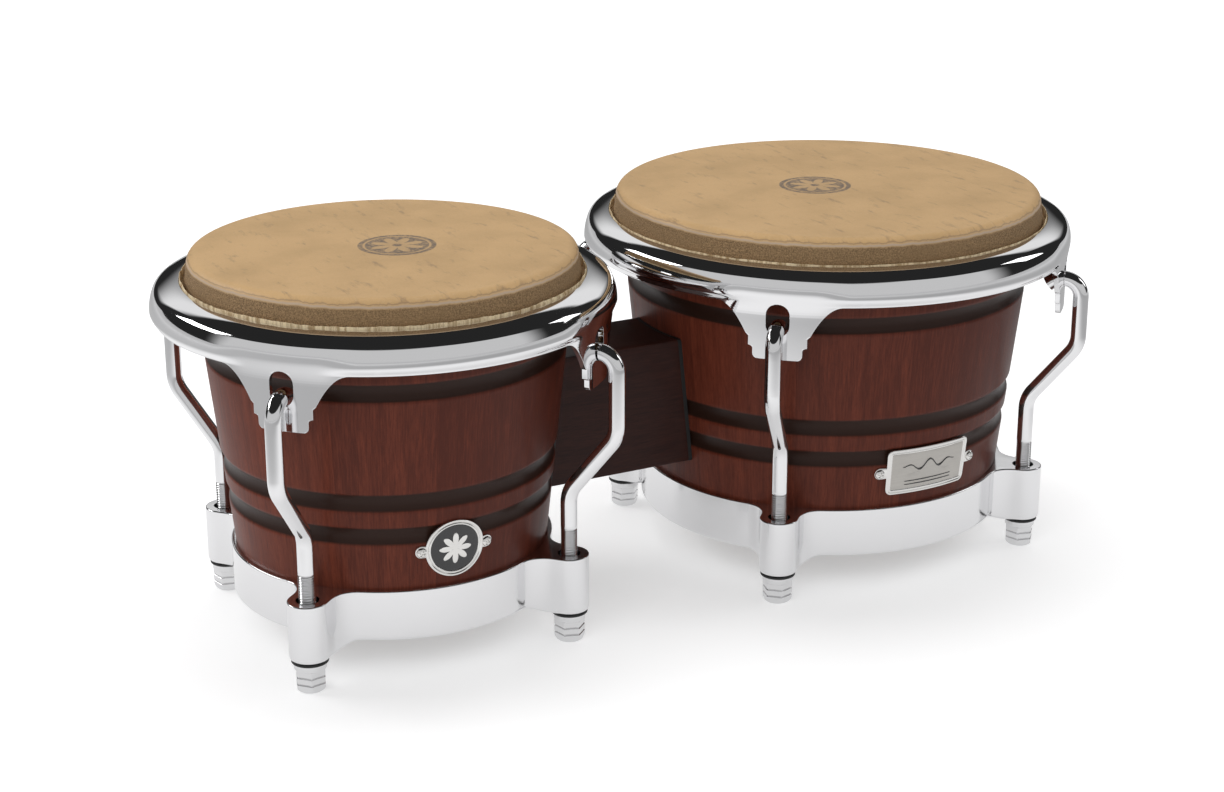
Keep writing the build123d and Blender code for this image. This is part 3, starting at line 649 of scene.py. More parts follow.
def rosette(tree, place, radius):
    """Mask of a plain eight-petal flower inside a thin ring, flat round the Z axis."""
    parts = wire(tree, "ShaderNodeSeparateXYZ", {0: place}).outputs
    across = calc(tree, "SQRT", calc(tree, "ADD", calc(tree, "POWER", parts["X"], 2.0),
                                    calc(tree, "POWER", parts["Y"], 2.0)))
    share = calc(tree, "DIVIDE", across, radius)
    angle = calc(tree, "ARCTAN2", parts["Y"], parts["X"])
    petals = calc(tree, "ABSOLUTE", calc(tree, "COSINE", calc(tree, "MULTIPLY", angle, 4.0)))
    reach = calc(tree, "MULTIPLY_ADD", petals, 0.46, 0.24)
    flower = ramp(tree, calc(tree, "SUBTRACT", share, reach), -0.03, 0.03, 1.0, 0.0)
    flower = calc(tree, "MULTIPLY", flower, ramp(tree, share, 0.10, 0.15))
    ring = ramp(tree, calc(tree, "ABSOLUTE", calc(tree, "SUBTRACT", share, 0.84)), 0.02, 0.04, 1.0, 0.0)
    left_pale = calc(tree, "MULTIPLY", calc(tree, "MAXIMUM", flower, ring), 0.8)
    within = ramp(tree, share, 0.98, 1.01, 1.0, 0.0)
    return calc(tree, "MULTIPLY", within, calc(tree, "SUBTRACT", 1.0, left_pale))


def skin_tail(skin):
    """Trimmed end of the skin: pale, with short dark cuts across it."""
    material, tree, shader = new_material("skin_tail")
    place = wire(tree, "ShaderNodeTexCoord").outputs["Object"]
    streaks = noise(tree, stretched(tree, place, 420, 420, 60), 1.0, 4.0, 0.7)
    fine = noise(tree, place, 1500.0, 2.0)
    tone = blend_colours(tree, ramp(tree, streaks, 0.38, 0.68), skin.tail, toned(skin.face, 0.70))
    tree.links.new(blend_colours(tree, calc(tree, "MULTIPLY", fine, 0.15), tone, skin.collar),
                   shader.inputs["Base Color"])
    tree.links.new(calc(tree, "MULTIPLY_ADD", fine, 0.2, 0.65), shader.inputs["Roughness"])
    bump(tree, shader, streaks, 0.5, 0.3)
    return material


def black_rubber(name):
    material, tree, shader = new_material(name)
    place = wire(tree, "ShaderNodeTexCoord").outputs["Object"]
    grit = noise(tree, place, 1400.0, 3.0)
    specks = use_group(tree, group("dust"), amount=0.35)["Mask"]
    tree.links.new(blend_colours(tree, specks, (0.012, 0.012, 0.012), (0.08, 0.08, 0.08)),
                   shader.inputs["Base Color"])
    tree.links.new(calc(tree, "MULTIPLY_ADD", grit, 0.25, 0.45), shader.inputs["Roughness"])
    bump(tree, shader, grit, 0.3, 0.05)
    return material


def enamel(name, tint):
    """Glossy enamel with faint flow marks."""
    material, tree, shader = new_material(name)
    place = wire(tree, "ShaderNodeTexCoord").outputs["Object"]
    flow = noise(tree, place, 260.0, 3.0)
    tree.links.new(blend_colours(tree, flow, tint, toned(tint, 2.2)), shader.inputs["Base Color"])
    tree.links.new(calc(tree, "MULTIPLY_ADD", flow, 0.10, 0.10), shader.inputs["Roughness"])
    shader.inputs["Coat Weight"].default_value = 0.6
    bump(tree, shader, flow, 0.15, 0.08)
    return material


def brushed(name, tint):
    """Metal brushed along X, a little cloudy."""
    material, tree, shader = new_material(name)
    place = wire(tree, "ShaderNodeTexCoord").outputs["Object"]
    lines = noise(tree, stretched(tree, place, 90, 90, 5200), 1.0, 3.0, 0.7)
    cloud = noise(tree, place, 90.0, 2.0)
    tone = blend_colours(tree, lines, toned(tint, 0.84), toned(tint, 1.12))
    tree.links.new(tone, shader.inputs["Base Color"])
    shader.inputs["Metallic"].default_value = 1.0
    tree.links.new(calc(tree, "MULTIPLY_ADD", cloud, 0.16, calc(tree, "MULTIPLY_ADD", lines, 0.12, 0.24)),
                   shader.inputs["Roughness"])
    bump(tree, shader, lines, 0.3, 0.04)
    return material


# ---------------------------------------------------------------- shells

def cove_depth(height, drum, shell):
    """Depth of the turned grooves at a height, soft at their lips."""
    width, depth = shell.cove_width, shell.cove_depth
    radius = (width ** 2 / 4 + depth ** 2) / (2 * depth)
    total = 0.0
    for rise in (49.0 * MM, 65.9 * MM, 120.2 * MM):
        off = height - drum.shell_bottom - rise
        dip = sqrt(max(radius ** 2 - off ** 2, 0)) - (radius - depth)
        dip = max(dip, -4 * shell.cove_lip)
        total += (dip + sqrt(dip ** 2 + shell.cove_lip ** 2)) / 2
    return total


def make_shell(drum):
    """Tapered stave shell: grooved and stained outside, bare inside, rounded at its bearing edge."""
    scene = bpy.context.scene
    shell, skin = scene.bongo_shell, scene.bongo_skin
    low, high = drum.shell_bottom, drum.shell_top
    bearing = skin.edge_round - skin.thickness
    foot_round = 0.8 * MM
    heights = np.arange(low + foot_round, high - bearing, 0.55 * MM)

    def radius(height):
        return drum.shell_radius(height, shell, skin) - cove_depth(height, drum, shell)

    outline = [(radius(low) - foot_round, low), (radius(low) - 0.3 * foot_round, low + 0.3 * foot_round)]
    outline += [(radius(h), h) for h in heights]
    top_radius = radius(high - bearing)
    outline += arc((top_radius - bearing, high - bearing), bearing, 0, pi / 2, 8)
    inner_top = drum.shell_radius(high, shell, skin) - shell.wall
    inner_low = drum.shell_radius(low, shell, skin) - shell.wall
    outline += [(inner_top + 1.5 * MM, high), (inner_top, high - 1.5 * MM)]
    outline += [(inner_top + (inner_low - inner_top) * t, high - 1.5 * MM + (low - high + 1.5 * MM) * t)
                for t in (0.25, 0.5, 0.75, 1.0)]
    piece = turned(f"{drum.name}_drum_shell", drum, outline, segments=224)
    paint_shell(piece, drum, shell, skin)
    stave = 2 * pi * drum.shell_radius((low + high) / 2, shell, skin) / shell.stave_count
    material = stained_wood(f"stained_staves_{drum.name}", shell.wood_light, shell.wood_dark,
                            shell.raw_wood, shell.cove_stain, stave)
    dress(piece, material, "shells", "stained_wood", f"{drum.name}_shell")


def paint_shell(piece, drum, shell, skin):
    """Stores how deep in a groove and how far inside each point is, and a UV map in metres."""
    mesh = piece.data
    points = np.zeros(len(mesh.vertices) * 3)
    mesh.vertices.foreach_get("co", points)
    points = points.reshape(-1, 3)
    radii = np.hypot(points[:, 0] - drum.centre, points[:, 1])
    angles = np.arctan2(points[:, 1], points[:, 0] - drum.centre)
    wall = np.array([drum.shell_radius(z, shell, skin) for z in points[:, 2]])
    depth = wall - radii
    outside = depth < shell.wall * 0.5
    in_body = points[:, 2] < drum.shell_top - skin.edge_round
    cove = np.where(outside & in_body, smoothstep(0.25 * MM, 0.75 * MM, depth), 0.0)
    inside = smoothstep(0.55 * shell.wall, 0.8 * shell.wall, depth)
    for name, values in (("cove", cove), ("inside", inside)):
        mesh.attributes.new(name, "FLOAT", "POINT").data.foreach_set("value", values.astype(np.float32))
    around = drum.shell_radius((drum.shell_bottom + drum.shell_top) / 2, shell, skin)
    lay_uv(mesh, angles * around, points[:, 2], 2 * pi * around)


def lay_uv(mesh, across, along, turn=None):
    """UV map in metres from values at the points; turn is the length of one full turn."""
    layer = mesh.uv_layers.new(name="place")
    corners = np.zeros(len(mesh.loops), np.int32)
    mesh.loops.foreach_get("vertex_index", corners)
    u = across[corners].copy()
    if turn:
        for face in mesh.polygons:
            span = slice(face.loop_start, face.loop_start + face.loop_total)
            values = u[span]
            if values.max() - values.min() > turn / 2:
                u[span] = np.where(values < 0, values + turn, values)
    layer.data.foreach_set("uv", np.column_stack([u, along[corners]]).astype(np.float32).ravel())


# ---------------------------------------------------------------- skins

def make_skin(drum):
    """Skin over the bearing edge with its rough collar, and the lap round the hoop."""
    skin = bpy.context.scene.bongo_skin
    top, radius = drum.head_top, drum.head_radius(skin)
    thick, turn = skin.thickness, skin.edge_round
    wrap_top = drum.rim_top - bpy.context.scene.bongo_rim.plate
    wrap_inner = drum.wrap_outer - 7.2 * MM
    wrap_bottom = drum.wrap_bottom
    flat = [(r * radius, top) for r in (0.0005, 0.1, 0.2, 0.3, 0.4, 0.5, 0.6, 0.7, 0.8, 0.9)]
    outer = flat + arc((radius - turn, top - turn), turn, pi / 2, 0, 10)
    steps = 8
    outer += [(radius + (wrap_inner - radius) * k / steps, top - turn + (wrap_top - top + turn) * k / steps)
              for k in range(1, steps + 1)]
    wrap = rounded([(wrap_inner + thick, wrap_top, 0.6 * MM),
                    (drum.wrap_outer, wrap_top - 1.6 * MM, 1.6 * MM),
                    (drum.wrap_outer, wrap_bottom, 1.6 * MM), (wrap_inner, wrap_bottom, 1.6 * MM),
                    (wrap_inner, wrap_top - 0.5 * MM, 0)])
    under = [(wrap_inner - 0.3 * MM, wrap_top - 1.0 * MM), (radius - thick, top - turn - 0.3 * MM)]
    under += arc((radius - turn, top - turn - 0.3 * MM), turn - thick, 0, pi / 2, 6)
    under += [(0.0005 * radius, top - thick)]

    def fuzz(angles, r, z):
        rough = smoothstep(1.5 * MM, 6.0 * MM, top - z) if z > wrap_top else 0.0
        wave = ring_noise(int(z * 1e5) % 997, angles, (37, 61, 97, 113, 171))
        slow = ring_noise(11, angles, (3, 5, 9, 14))
        return rough * (0.10 * wave - 0.10 + 0.12 * slow) * MM, -rough * 0.05 * MM * (1 + wave)

    piece = turned(f"{drum.name}_skin", drum, outer + wrap + under, segments=320, bump=fuzz)
    close_pole(piece, drum)
    points = np.array([v.co for v in piece.data.vertices])
    collar = smoothstep(1.2 * MM, 7.0 * MM, top - points[:, 2])
    attribute = piece.data.attributes.new("collar", "FLOAT", "POINT")
    attribute.data.foreach_set("value", collar.astype(np.float32))
    piece.data.materials.append(rawhide(drum, skin))
    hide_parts(f"{drum.name}_head")
    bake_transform(piece)


def close_pole(piece, drum):
    """Draws the tiny hole on the axis together to one point on each side."""
    work = bmesh.new()
    work.from_mesh(piece.data)
    near = [v for v in work.verts if hypot(v.co.x - drum.centre, v.co.y) < 0.2 * MM]
    top = max(v.co.z for v in near)
    upper = [v for v in near if v.co.z > top - 0.1 * MM]
    lower = [v for v in near if v.co.z <= top - 0.1 * MM]
    for ring in (upper, lower):
        bmesh.ops.pointmerge(work, verts=ring, merge_co=(drum.centre, 0, ring[0].co.z))
    work.to_mesh(piece.data)
    work.free()


def make_tail(drum, material):
    """Ragged, trimmed end of the skin standing between the collar and the rim."""
    skin = bpy.context.scene.bongo_skin
    inner_edge = drum.head_radius(skin) + skin.rim_gap
    count = 640
    angles = np.arange(count) * 2 * pi / count
    seed = 21 if drum.name == "small" else 43
    share = 1.0 if drum.name == "small" else 0.45
    waves = np.clip(ring_noise(seed + 1, angles, (7, 13, 29, 53, 88)), -1, 1)
    fray = hashed(seed, count) * 0.5 + waves * 0.5
    rise = skin.tail_height * share * (0.55 + 0.30 * np.clip(fray, -0.6, 1.0))
    lean = 0.35 * MM * ring_noise(seed + 2, angles, (11, 23, 47))
    low = drum.rim_top - 3.0 * MM
    rows = []
    for level, spread in ((0.0, -1.0), (0.35, -0.95), (0.75, -0.75), (1.0, -0.25), (1.0, 0.15), (0.75, 0.6),
                          (0.35, 0.85), (0.0, 0.9)):
        heights = low + (drum.rim_top + rise - low) * level
        radii = inner_edge - 0.55 * MM + spread * 0.42 * MM + level ** 2 * lean
        rows += [drum.place(r, a, z) for r, a, z in zip(radii, angles, heights)]
    piece = new_piece(f"{drum.name}_skin_tail", rows, grid_faces(8, count, True, True), smooth_angle=60)
    dress(piece, material, drum.crown, "rawhide")


# ---------------------------------------------------------------- rims

def crown_section(drum, rim, inner):
    """Section of a rim above its widest place: (radius, height) points and the lean of its skirt.

    A gently domed flange runs into a tight shoulder, and that into a skirt that swells outwards."""
    flat, brow, fall = radians(3), radians(22), radians(66)
    shoulder_reach = rim.roll * (sin(fall) - sin(brow))
    low = drum.rim_top - rim.widest
    dome = rim.widest
    for _ in range(12):
        start = drum.rim_top - dome * (cos(flat) - cos(brow)) - rim.roll * (cos(brow) - cos(fall))
        swell = (start - low) / cos(fall)
        across = drum.rim_radius - swell * (1 - sin(fall)) - inner - shoulder_reach
        dome = across / (sin(brow) - sin(flat))
    shoulder = (inner + dome * (sin(brow) - sin(flat)), drum.rim_top - dome * (cos(flat) - cos(brow)))
    points = [(shoulder[0] + rim.roll * (sin(t) - sin(brow)), shoulder[1] - rim.roll * (cos(brow) - cos(t)))
              for t in np.linspace(fall, brow, 15)]
    points += [(inner + dome * (sin(t) - sin(flat)), drum.rim_top - dome * (cos(flat) - cos(t)))
               for t in np.linspace(brow, flat, 13)[1:]]

    def lean(height):
        up = min(max(height - low, 0), start - low)
        return swell - sqrt(swell ** 2 - up ** 2)

    return points, lean


def ear_half_width(height, drum, rim):
    """Half-width of an ear at a height: stepped tip, small shoulders, then a flare to the skirt."""
    up = height - drum.ear_bottom
    base = drum.rim_top - rim.height
    corner, step, neck = 2.5 * MM, 5.0 * MM, 11.0 * MM
    tip, shoulder, flare = rim.tip_width, rim.shoulder_width, rim.flare_width
    if up <= corner:
        return tip - corner + sqrt(max(corner ** 2 - (corner - up) ** 2, 0))
    if up <= step:
        return tip
    rise = 1.4 * MM
    if up <= step + rise:
        t = (up - step) / rise
        return tip + (shoulder - tip) * (1 - sqrt(max(1 - t * t, 0)))
    if up <= neck:
        return shoulder
    t = min((height - drum.ear_bottom - neck) / (base - drum.ear_bottom - neck), 1.0)
    return shoulder + 0.8 * MM * min(t * 12, 1) + (flare - shoulder - 0.8 * MM) * (1 - sqrt(1 - t))


def slot_half_width(height, low, high, width):
    half = width / 2
    if height <= low or height >= high:
        return 0.0
    return sqrt(max(half ** 2 - max(low + half - height, height - high + half, 0) ** 2, 0))


def ear_rows(drum, rim):
    """Heights of the grid's rows below the shoulder, close together where the outline turns."""
    base = drum.rim_top - rim.height
    bottom, neck = drum.ear_bottom, drum.ear_bottom + 11.0 * MM
    low, high = bottom + rim.slot_bridge, base + 0.7 * MM
    half = rim.slot_width / 2
    turn = [1 - cos(a) for a in np.linspace(0, pi / 2, 8)]
    rows = {round(z, 7) for z in [base, neck, neck + 0.4 * MM, neck + 1.3 * MM, high + 0.6 * MM,
                                  base + rim.tuck, bottom + 5.0 * MM]}
    rows |= {round(low + half * t, 7) for t in turn} | {round(high - half * t, 7) for t in turn}
    rows |= {round(bottom + 2.5 * MM * t, 7) for t in (0, 0.04, 0.15, 0.35, 0.65, 1.0)}
    rows |= {round(bottom + 5.0 * MM + 1.4 * MM * t, 7) for t in (0.5, 0.85, 0.96, 1.0)}
    rows |= {round(neck + (base - neck) * (1 - (1 - t) ** 2), 7) for t in np.linspace(0, 1, 13)}
    rows |= {round(base + rim.tuck * t, 7) for t in (0.33, 0.66)}
    rows = sorted(rows)
    kept = [rows[0]]
    for z in rows[1:]:
        if z - kept[-1] > 0.05 * MM:
            kept.append(z)
    if base not in kept:
        kept = sorted(set(z for z in kept if abs(z - base) > 0.05 * MM) | {round(base, 7)})
    return kept


def make_rim(drum, material):
    """Pressed rim: flange, rolled shoulder, tucked skirt and four slotted ears, as one bent plate."""
    scene = bpy.context.scene
    rim, skin = scene.bongo_rim, scene.bongo_skin
    out, top = drum.rim_radius, drum.rim_top
    base = round(top - rim.height, 7)
    inner = drum.head_radius(skin) + skin.rim_gap
    slot_low, slot_high = drum.ear_bottom + rim.slot_bridge, base + 0.7 * MM
    across = [k / 13 for k in range(14)]
    lugs = drum.lug_angles()
    face = out - rim.bulge
    flare_angle = rim.flare_width / face
    gap_angle = pi / 2 - 2 * flare_angle
    gap_count = int(ceil(gap_angle * face / (1.6 * MM)))

    crown, lean = crown_section(drum, rim, inner)

    def skirt_radius(arc_length, height):
        full = out - lean(height)
        tucked = full - rim.bulge * float(smoothstep(0, rim.tuck, base + rim.tuck - height))
        ear = full - rim.bulge * float(smoothstep(-12.5 * MM, 6.0 * MM, base - height))
        near = 1 - float(smoothstep(0.55 * rim.flare_width, 1.15 * rim.flare_width, abs(arc_length)))
        return tucked + (ear - tucked) * near

    points, faces, index = [], [], {}

    def vertex(angle, radius, height):
        key = (round((angle % (2 * pi)) * 1e6) % 6283185, round(radius * 1e7), round(height * 1e7))
        if key not in index:
            index[key] = len(points)
            points.append(drum.place(radius, angle, height))
        return index[key]

    def ear_row(lug, height):
        """The two halves of an ear's row, from its outer edges to the slot or the middle."""
        slot = slot_half_width(height, slot_low, slot_high, rim.slot_width)
        edge = ear_half_width(height, drum, rim) if height < base else rim.flare_width
        return [[vertex(lug + side * (slot + (edge - slot) * t) / face,
                        skirt_radius(slot + (edge - slot) * t, height), height) for t in across]
                for side in (-1, 1)]

    def ring_row(height=None, radius=None):
        """One full turn of columns, through ears and the gaps between them."""
        row = []
        for lug in lugs:
            for side in (-1, 1):
                order = across[::-1] if side < 0 else across
                slot = slot_half_width(height, slot_low, slot_high, rim.slot_width) if radius is None else 0.0
                for t in order:
                    length_ = slot + (rim.flare_width - slot) * t
                    r = skirt_radius(length_, height) if radius is None else radius
                    row.append(vertex(lug + side * length_ / face, r, height))
            for k in range(1, gap_count):
                angle = lug + flare_angle + gap_angle * k / gap_count
                off = min(flare_angle * face + gap_angle * face * k / gap_count,
                          flare_angle * face + gap_angle * face * (1 - k / gap_count))
                r = skirt_radius(off, height) if radius is None else radius
                row.append(vertex(angle, r, height))
        return row

    def join(lower, upper, closed, skip=()):
        count = len(lower)
        for k in range(count if closed else count - 1):
            if k in skip:
                continue
            a, b, c, d = lower[k], lower[(k + 1) % count], upper[(k + 1) % count], upper[k]
            corners = [v for n, v in enumerate((a, b, c, d)) if v not in (a, b, c, d)[:n]]
            if len(corners) > 2:
                faces.append(corners)

    levels = ear_rows(drum, rim)
    below = [z for z in levels if z <= base + 1e-9]
    above = [z for z in levels if z >= base - 1e-9]
    for lug in lugs:
        rows = [ear_row(lug, z) for z in below]
        for lower, upper in zip(rows, rows[1:]):
            for side in (0, 1):
                join(lower[side], upper[side], False)
    block = 2 * len(across) + gap_count - 1
    seams = {n * block + len(across) - 1 for n in range(4)}
    ring_rows = [(z, None) for z in above]
    ring_rows += [(z, None) for z in np.linspace(above[-1], crown[0][1], 8)[1:]]
    ring_rows += [(z, r) for r, z in crown[1:]]
    made = [(z, ring_row(z, r)) for z, r in ring_rows]
    for (z, lower), (_, upper) in zip(made, made[1:]):
        inside_slot = z < slot_high - 1e-6
        join(lower, upper, True, seams if inside_slot else ())
    piece = new_piece(f"{drum.name}_pressed_rim", points, faces, smooth_angle=50)
    solid = piece.modifiers.new("Plate", "SOLIDIFY")
    solid.thickness, solid.offset, solid.use_even_offset = rim.plate, -1.0, True
    soften_edges(piece, rim.edge, angle=55, segments=3)
    dress(piece, material, drum.crown, "chrome", f"{drum.name}_rim")


# ---------------------------------------------------------------- tuning rods, nuts and washers

def rod_tree():
    """Sweeps a round rod along a curve, cuts its thread, and repeats it round the drum's axis."""
    tree, given, out = new_group("tuning_rods", "GeometryNodeTree", [
        ("NodeSocketGeometry", "Path", None), ("NodeSocketFloat", "Radius", 0.004),
        ("NodeSocketFloat", "Pitch", 0.00125), ("NodeSocketFloat", "Depth", 0.0006),
        ("NodeSocketFloat", "Thread top", 0.058), ("NodeSocketFloat", "Foot radius", 0.1),
        ("NodeSocketFloat", "Turn", 0.0), ("NodeSocketInt", "Count", 4),
        ("NodeSocketVector", "Centre", (0, 0, 0)), ("NodeSocketMaterial", "Finish", None)],
        [("NodeSocketGeometry", "Rods")])
    profile = wire(tree, "GeometryNodeCurvePrimitiveCircle", {"Resolution": 28, "Radius": given["Radius"]})
    sweep = {"Curve": given["Path"], "Profile Curve": profile.outputs[0], "Fill Caps": True}
    swept = wire(tree, "GeometryNodeCurveToMesh", sweep).outputs[0]
    place = wire(tree, "GeometryNodeInputPosition").outputs[0]
    parts = wire(tree, "ShaderNodeSeparateXYZ", {0: place}).outputs
    off_x = calc(tree, "SUBTRACT", parts["X"], given["Foot radius"])
    angle = calc(tree, "ARCTAN2", parts["Y"], off_x)
    turns = calc(tree, "SUBTRACT", calc(tree, "DIVIDE", parts["Z"], given["Pitch"]),
                 calc(tree, "DIVIDE", angle, 2 * pi))
    valley = calc(tree, "PINGPONG", turns, 0.5)
    cut = calc(tree, "MULTIPLY", ramp(tree, valley, 0.04, 0.44), given["Depth"])
    end = wire(tree, "ShaderNodeMapRange", {
        "Value": parts["Z"], "From Min": calc(tree, "SUBTRACT", given["Thread top"], given["Pitch"]),
        "From Max": given["Thread top"], "To Min": 1.0, "To Max": 0.0}).outputs["Result"]
    depth = calc(tree, "MULTIPLY", cut, end)
    across = wire(tree, "ShaderNodeCombineXYZ", {"X": off_x, "Y": parts["Y"]}).outputs[0]
    inwards = wire(tree, "ShaderNodeVectorMath", {0: across}, operation="NORMALIZE").outputs[0]
    move = wire(tree, "ShaderNodeVectorMath", {0: inwards, "Scale": calc(tree, "MULTIPLY", depth, -1.0)},
                operation="SCALE").outputs[0]
    cut_rod = wire(tree, "GeometryNodeSetPosition", {"Geometry": swept, "Offset": move}).outputs[0]
    smooth = wire(tree, "GeometryNodeSetShadeSmooth", {"Geometry": cut_rod, "Shade Smooth": True}).outputs[0]
    spots = wire(tree, "GeometryNodeMeshLine", {"Count": given["Count"]}, mode="OFFSET").outputs[0]
    spots = wire(tree, "GeometryNodeSetPosition", {"Geometry": spots, "Position": given["Centre"]}).outputs[0]
    index = wire(tree, "GeometryNodeInputIndex").outputs[0]
    step = calc(tree, "DIVIDE", 2 * pi, given["Count"])
    spin = calc(tree, "MULTIPLY_ADD", index, step, given["Turn"])
    rotation = wire(tree, "ShaderNodeCombineXYZ", {"Z": spin}).outputs[0]
    copies = wire(tree, "GeometryNodeInstanceOnPoints", {"Points": spots, "Instance": smooth,
                                                         "Rotation": rotation}).outputs[0]
    real = wire(tree, "GeometryNodeRealizeInstances", {0: copies}).outputs[0]
    tree.links.new(wire(tree, "GeometryNodeSetMaterial", {"Geometry": real, "Material": given["Finish"]})
                   .outputs[0], out["Rods"])
    return tree


def set_inputs(modifier, **values):
    """Sets a Geometry Nodes modifier's inputs by their sockets' identifiers."""
    for item in modifier.node_group.interface.items_tree:
        key = item.name.replace(" ", "_").lower()
        if item.in_out == "INPUT" and key in values:
            modifier[item.identifier] = values[key]


def grow(carrier, tree, **values):
    """Runs a Geometry Nodes tree on a carrier object and returns the plain mesh piece."""
    modifier = carrier.modifiers.new("Build", "NODES")
    modifier.node_group = tree
    set_inputs(modifier, **values)
    return apply_modifiers(carrier)


def rod_path(drum, rods, rim):
    """Centreline of a rod in the XZ plane: threaded leg, double bend, upper leg and hook."""
    foot, leg = drum.lug_radius, drum.lug_radius + rods.offset
    bend = rods.small_crank if drum.name == "small" else rods.large_crank
    rise = rods.crank_rise
    slope = atan2(rods.offset, rise)
    reach = rods.bend * np.tan(slope / 2)
    start = 5.5 * MM
    face = drum.rim_radius - rim.bulge
    hook_centre = leg - rods.hook
    plate_reach = max(face - hook_centre, hook_centre - face + rim.plate)
    slot_low = drum.ear_bottom + rim.slot_bridge
    hook_height = slot_low - sqrt((rods.hook - rods.radius) ** 2 - plate_reach ** 2)
    step = rods.pitch / 8
    points = [(foot, z) for z in np.arange(start, start + rods.thread_length + step, step)]
    points += [(foot, z) for z in np.linspace(points[-1][1] + 1 * MM, bend - reach, 5)[:-1]]
    points += [(foot + rods.bend - rods.bend * cos(t), bend - reach + rods.bend * sin(t))
               for t in np.linspace(0, slope, 12)]
    points += [(leg - rods.bend + rods.bend * cos(t), bend + rise + reach - rods.bend * sin(t))
               for t in np.linspace(slope, 0, 12)]
    points += [(leg, z) for z in np.linspace(bend + rise + reach, hook_height, 6)[1:-1]]
    points += [(hook_centre + rods.hook * cos(t), hook_height + rods.hook * sin(t))
               for t in np.linspace(0, rods.hook_turn, 26)]
    last, heading = points[-1], rods.hook_turn + pi / 2
    path = [(x, z, 1.0) for x, z in points]
    for back, share in ((0.9 * MM, 1.0), (0.55 * MM, 0.975), (0.25 * MM, 0.90), (0.06 * MM, 0.80),
                        (0.0, 0.70)):
        reach = rods.hook_tip - back
        path.append((last[0] + reach * cos(heading), last[1] + reach * sin(heading), share))
    return path


def make_rods(drum, tree, material):
    """The drum's four tuning rods."""
    scene = bpy.context.scene
    rods, rim = scene.bongo_rod, scene.bongo_rim
    path = rod_path(drum, rods, rim)
    data = bpy.data.curves.new(f"{drum.name}_rod_path", "CURVE")
    data.dimensions = "3D"
    spline = data.splines.new("POLY")
    spline.points.add(len(path) - 1)
    for point, (x, z, share) in zip(spline.points, path):
        point.co = (x, 0, z, 1)
        point.radius = share
    carrier = bpy.data.objects.new(f"{drum.name}_tuning_rods", data)
    scene.collection.objects.link(carrier)
    piece = grow(carrier, tree, radius=rods.radius, pitch=rods.pitch, depth=rods.thread_depth,
                 thread_top=5.5 * MM + rods.thread_length, foot_radius=drum.lug_radius,
                 turn=drum.first_angle, centre=(drum.centre, 0, 0), finish=material)
    piece.data.set_sharp_from_angle(angle=radians(80))
    dress(piece, material, drum.crown, "chrome", *[f"{drum.name}_tuning_rod_{side}" for side in SIDES])


def groove_cut(height, grooves, width):
    """Depth of the grooves round a nut at a height."""
    off = min(abs(height - low - width / 2) for low in grooves)
    return 0.5 * MM * (1 - float(smoothstep(width / 2 - 0.12 * MM, width / 2 + 0.12 * MM, off)))


def make_nut(drum, side, angle, material):
    """Closed hexagon nut with two grooves, a chamfered foot and a round collar on top."""
    rods = bpy.context.scene.bongo_rod
    apothem = rods.hex_flats / 2
    corner = rods.hex_flats / sqrt(3)
    collar = corner + 0.2 * MM
    hexagon, top = rods.hex_height, drum.nut_height
    grooves = (4.0 * MM, 7.4 * MM)
    profile = [(0.0, 0.0), (corner - 2.3 * MM, 0.0), (corner - 1.7 * MM, 0.15 * MM),
               (corner - 0.9 * MM, 0.75 * MM),
               (corner - 0.35 * MM, 1.5 * MM), (corner, 2.4 * MM)]
    for z in grooves:
        profile += [(corner, z + off * MM) for off in (-0.16, -0.04, 0.1)]
        profile += [(corner, z + rods.groove + off * MM) for off in (-0.1, 0.04, 0.16)]
    profile += [(corner, hexagon - 0.6 * MM), (corner - 0.3 * MM, hexagon - 0.1 * MM)]
    profile += [(collar - 0.45 * MM, hexagon), (collar - 0.1 * MM, hexagon + 0.15 * MM),
                (collar, hexagon + 0.5 * MM), (collar, top - 0.6 * MM),
                (collar - 0.2 * MM, top - 0.18 * MM),
                (collar - 0.6 * MM, top), (rods.radius + 0.5 * MM, top),
                (rods.radius + 0.1 * MM, top - 0.4 * MM),
                (rods.radius + 0.1 * MM, 1.6 * MM), (0.0, 1.6 * MM)]
    centre = drum.place(drum.lug_radius, angle, 0)
    count = 96
    points = []
    for radius, height in profile:
        for k in range(count):
            turn = 2 * pi * k / count
            flat = apothem / cos((turn + pi / 6) % (pi / 3) - pi / 6)
            outer = height < hexagon - 0.05 * MM and radius > rods.radius + 0.6 * MM
            r = min(radius, flat) - groove_cut(height, grooves, rods.groove) if outer else radius
            a = turn + angle
            points.append((centre[0] + r * cos(a), centre[1] + r * sin(a), height))
    piece = new_piece(f"{drum.name}_nut_{side}", points, grid_faces(len(profile), count, False, True),
                      smooth_angle=28)
    weigh_normals(piece)
    dress(piece, material, f"{drum.name}_nut_{side}", "chrome", f"{drum.name}_tuning_nut_{side}")


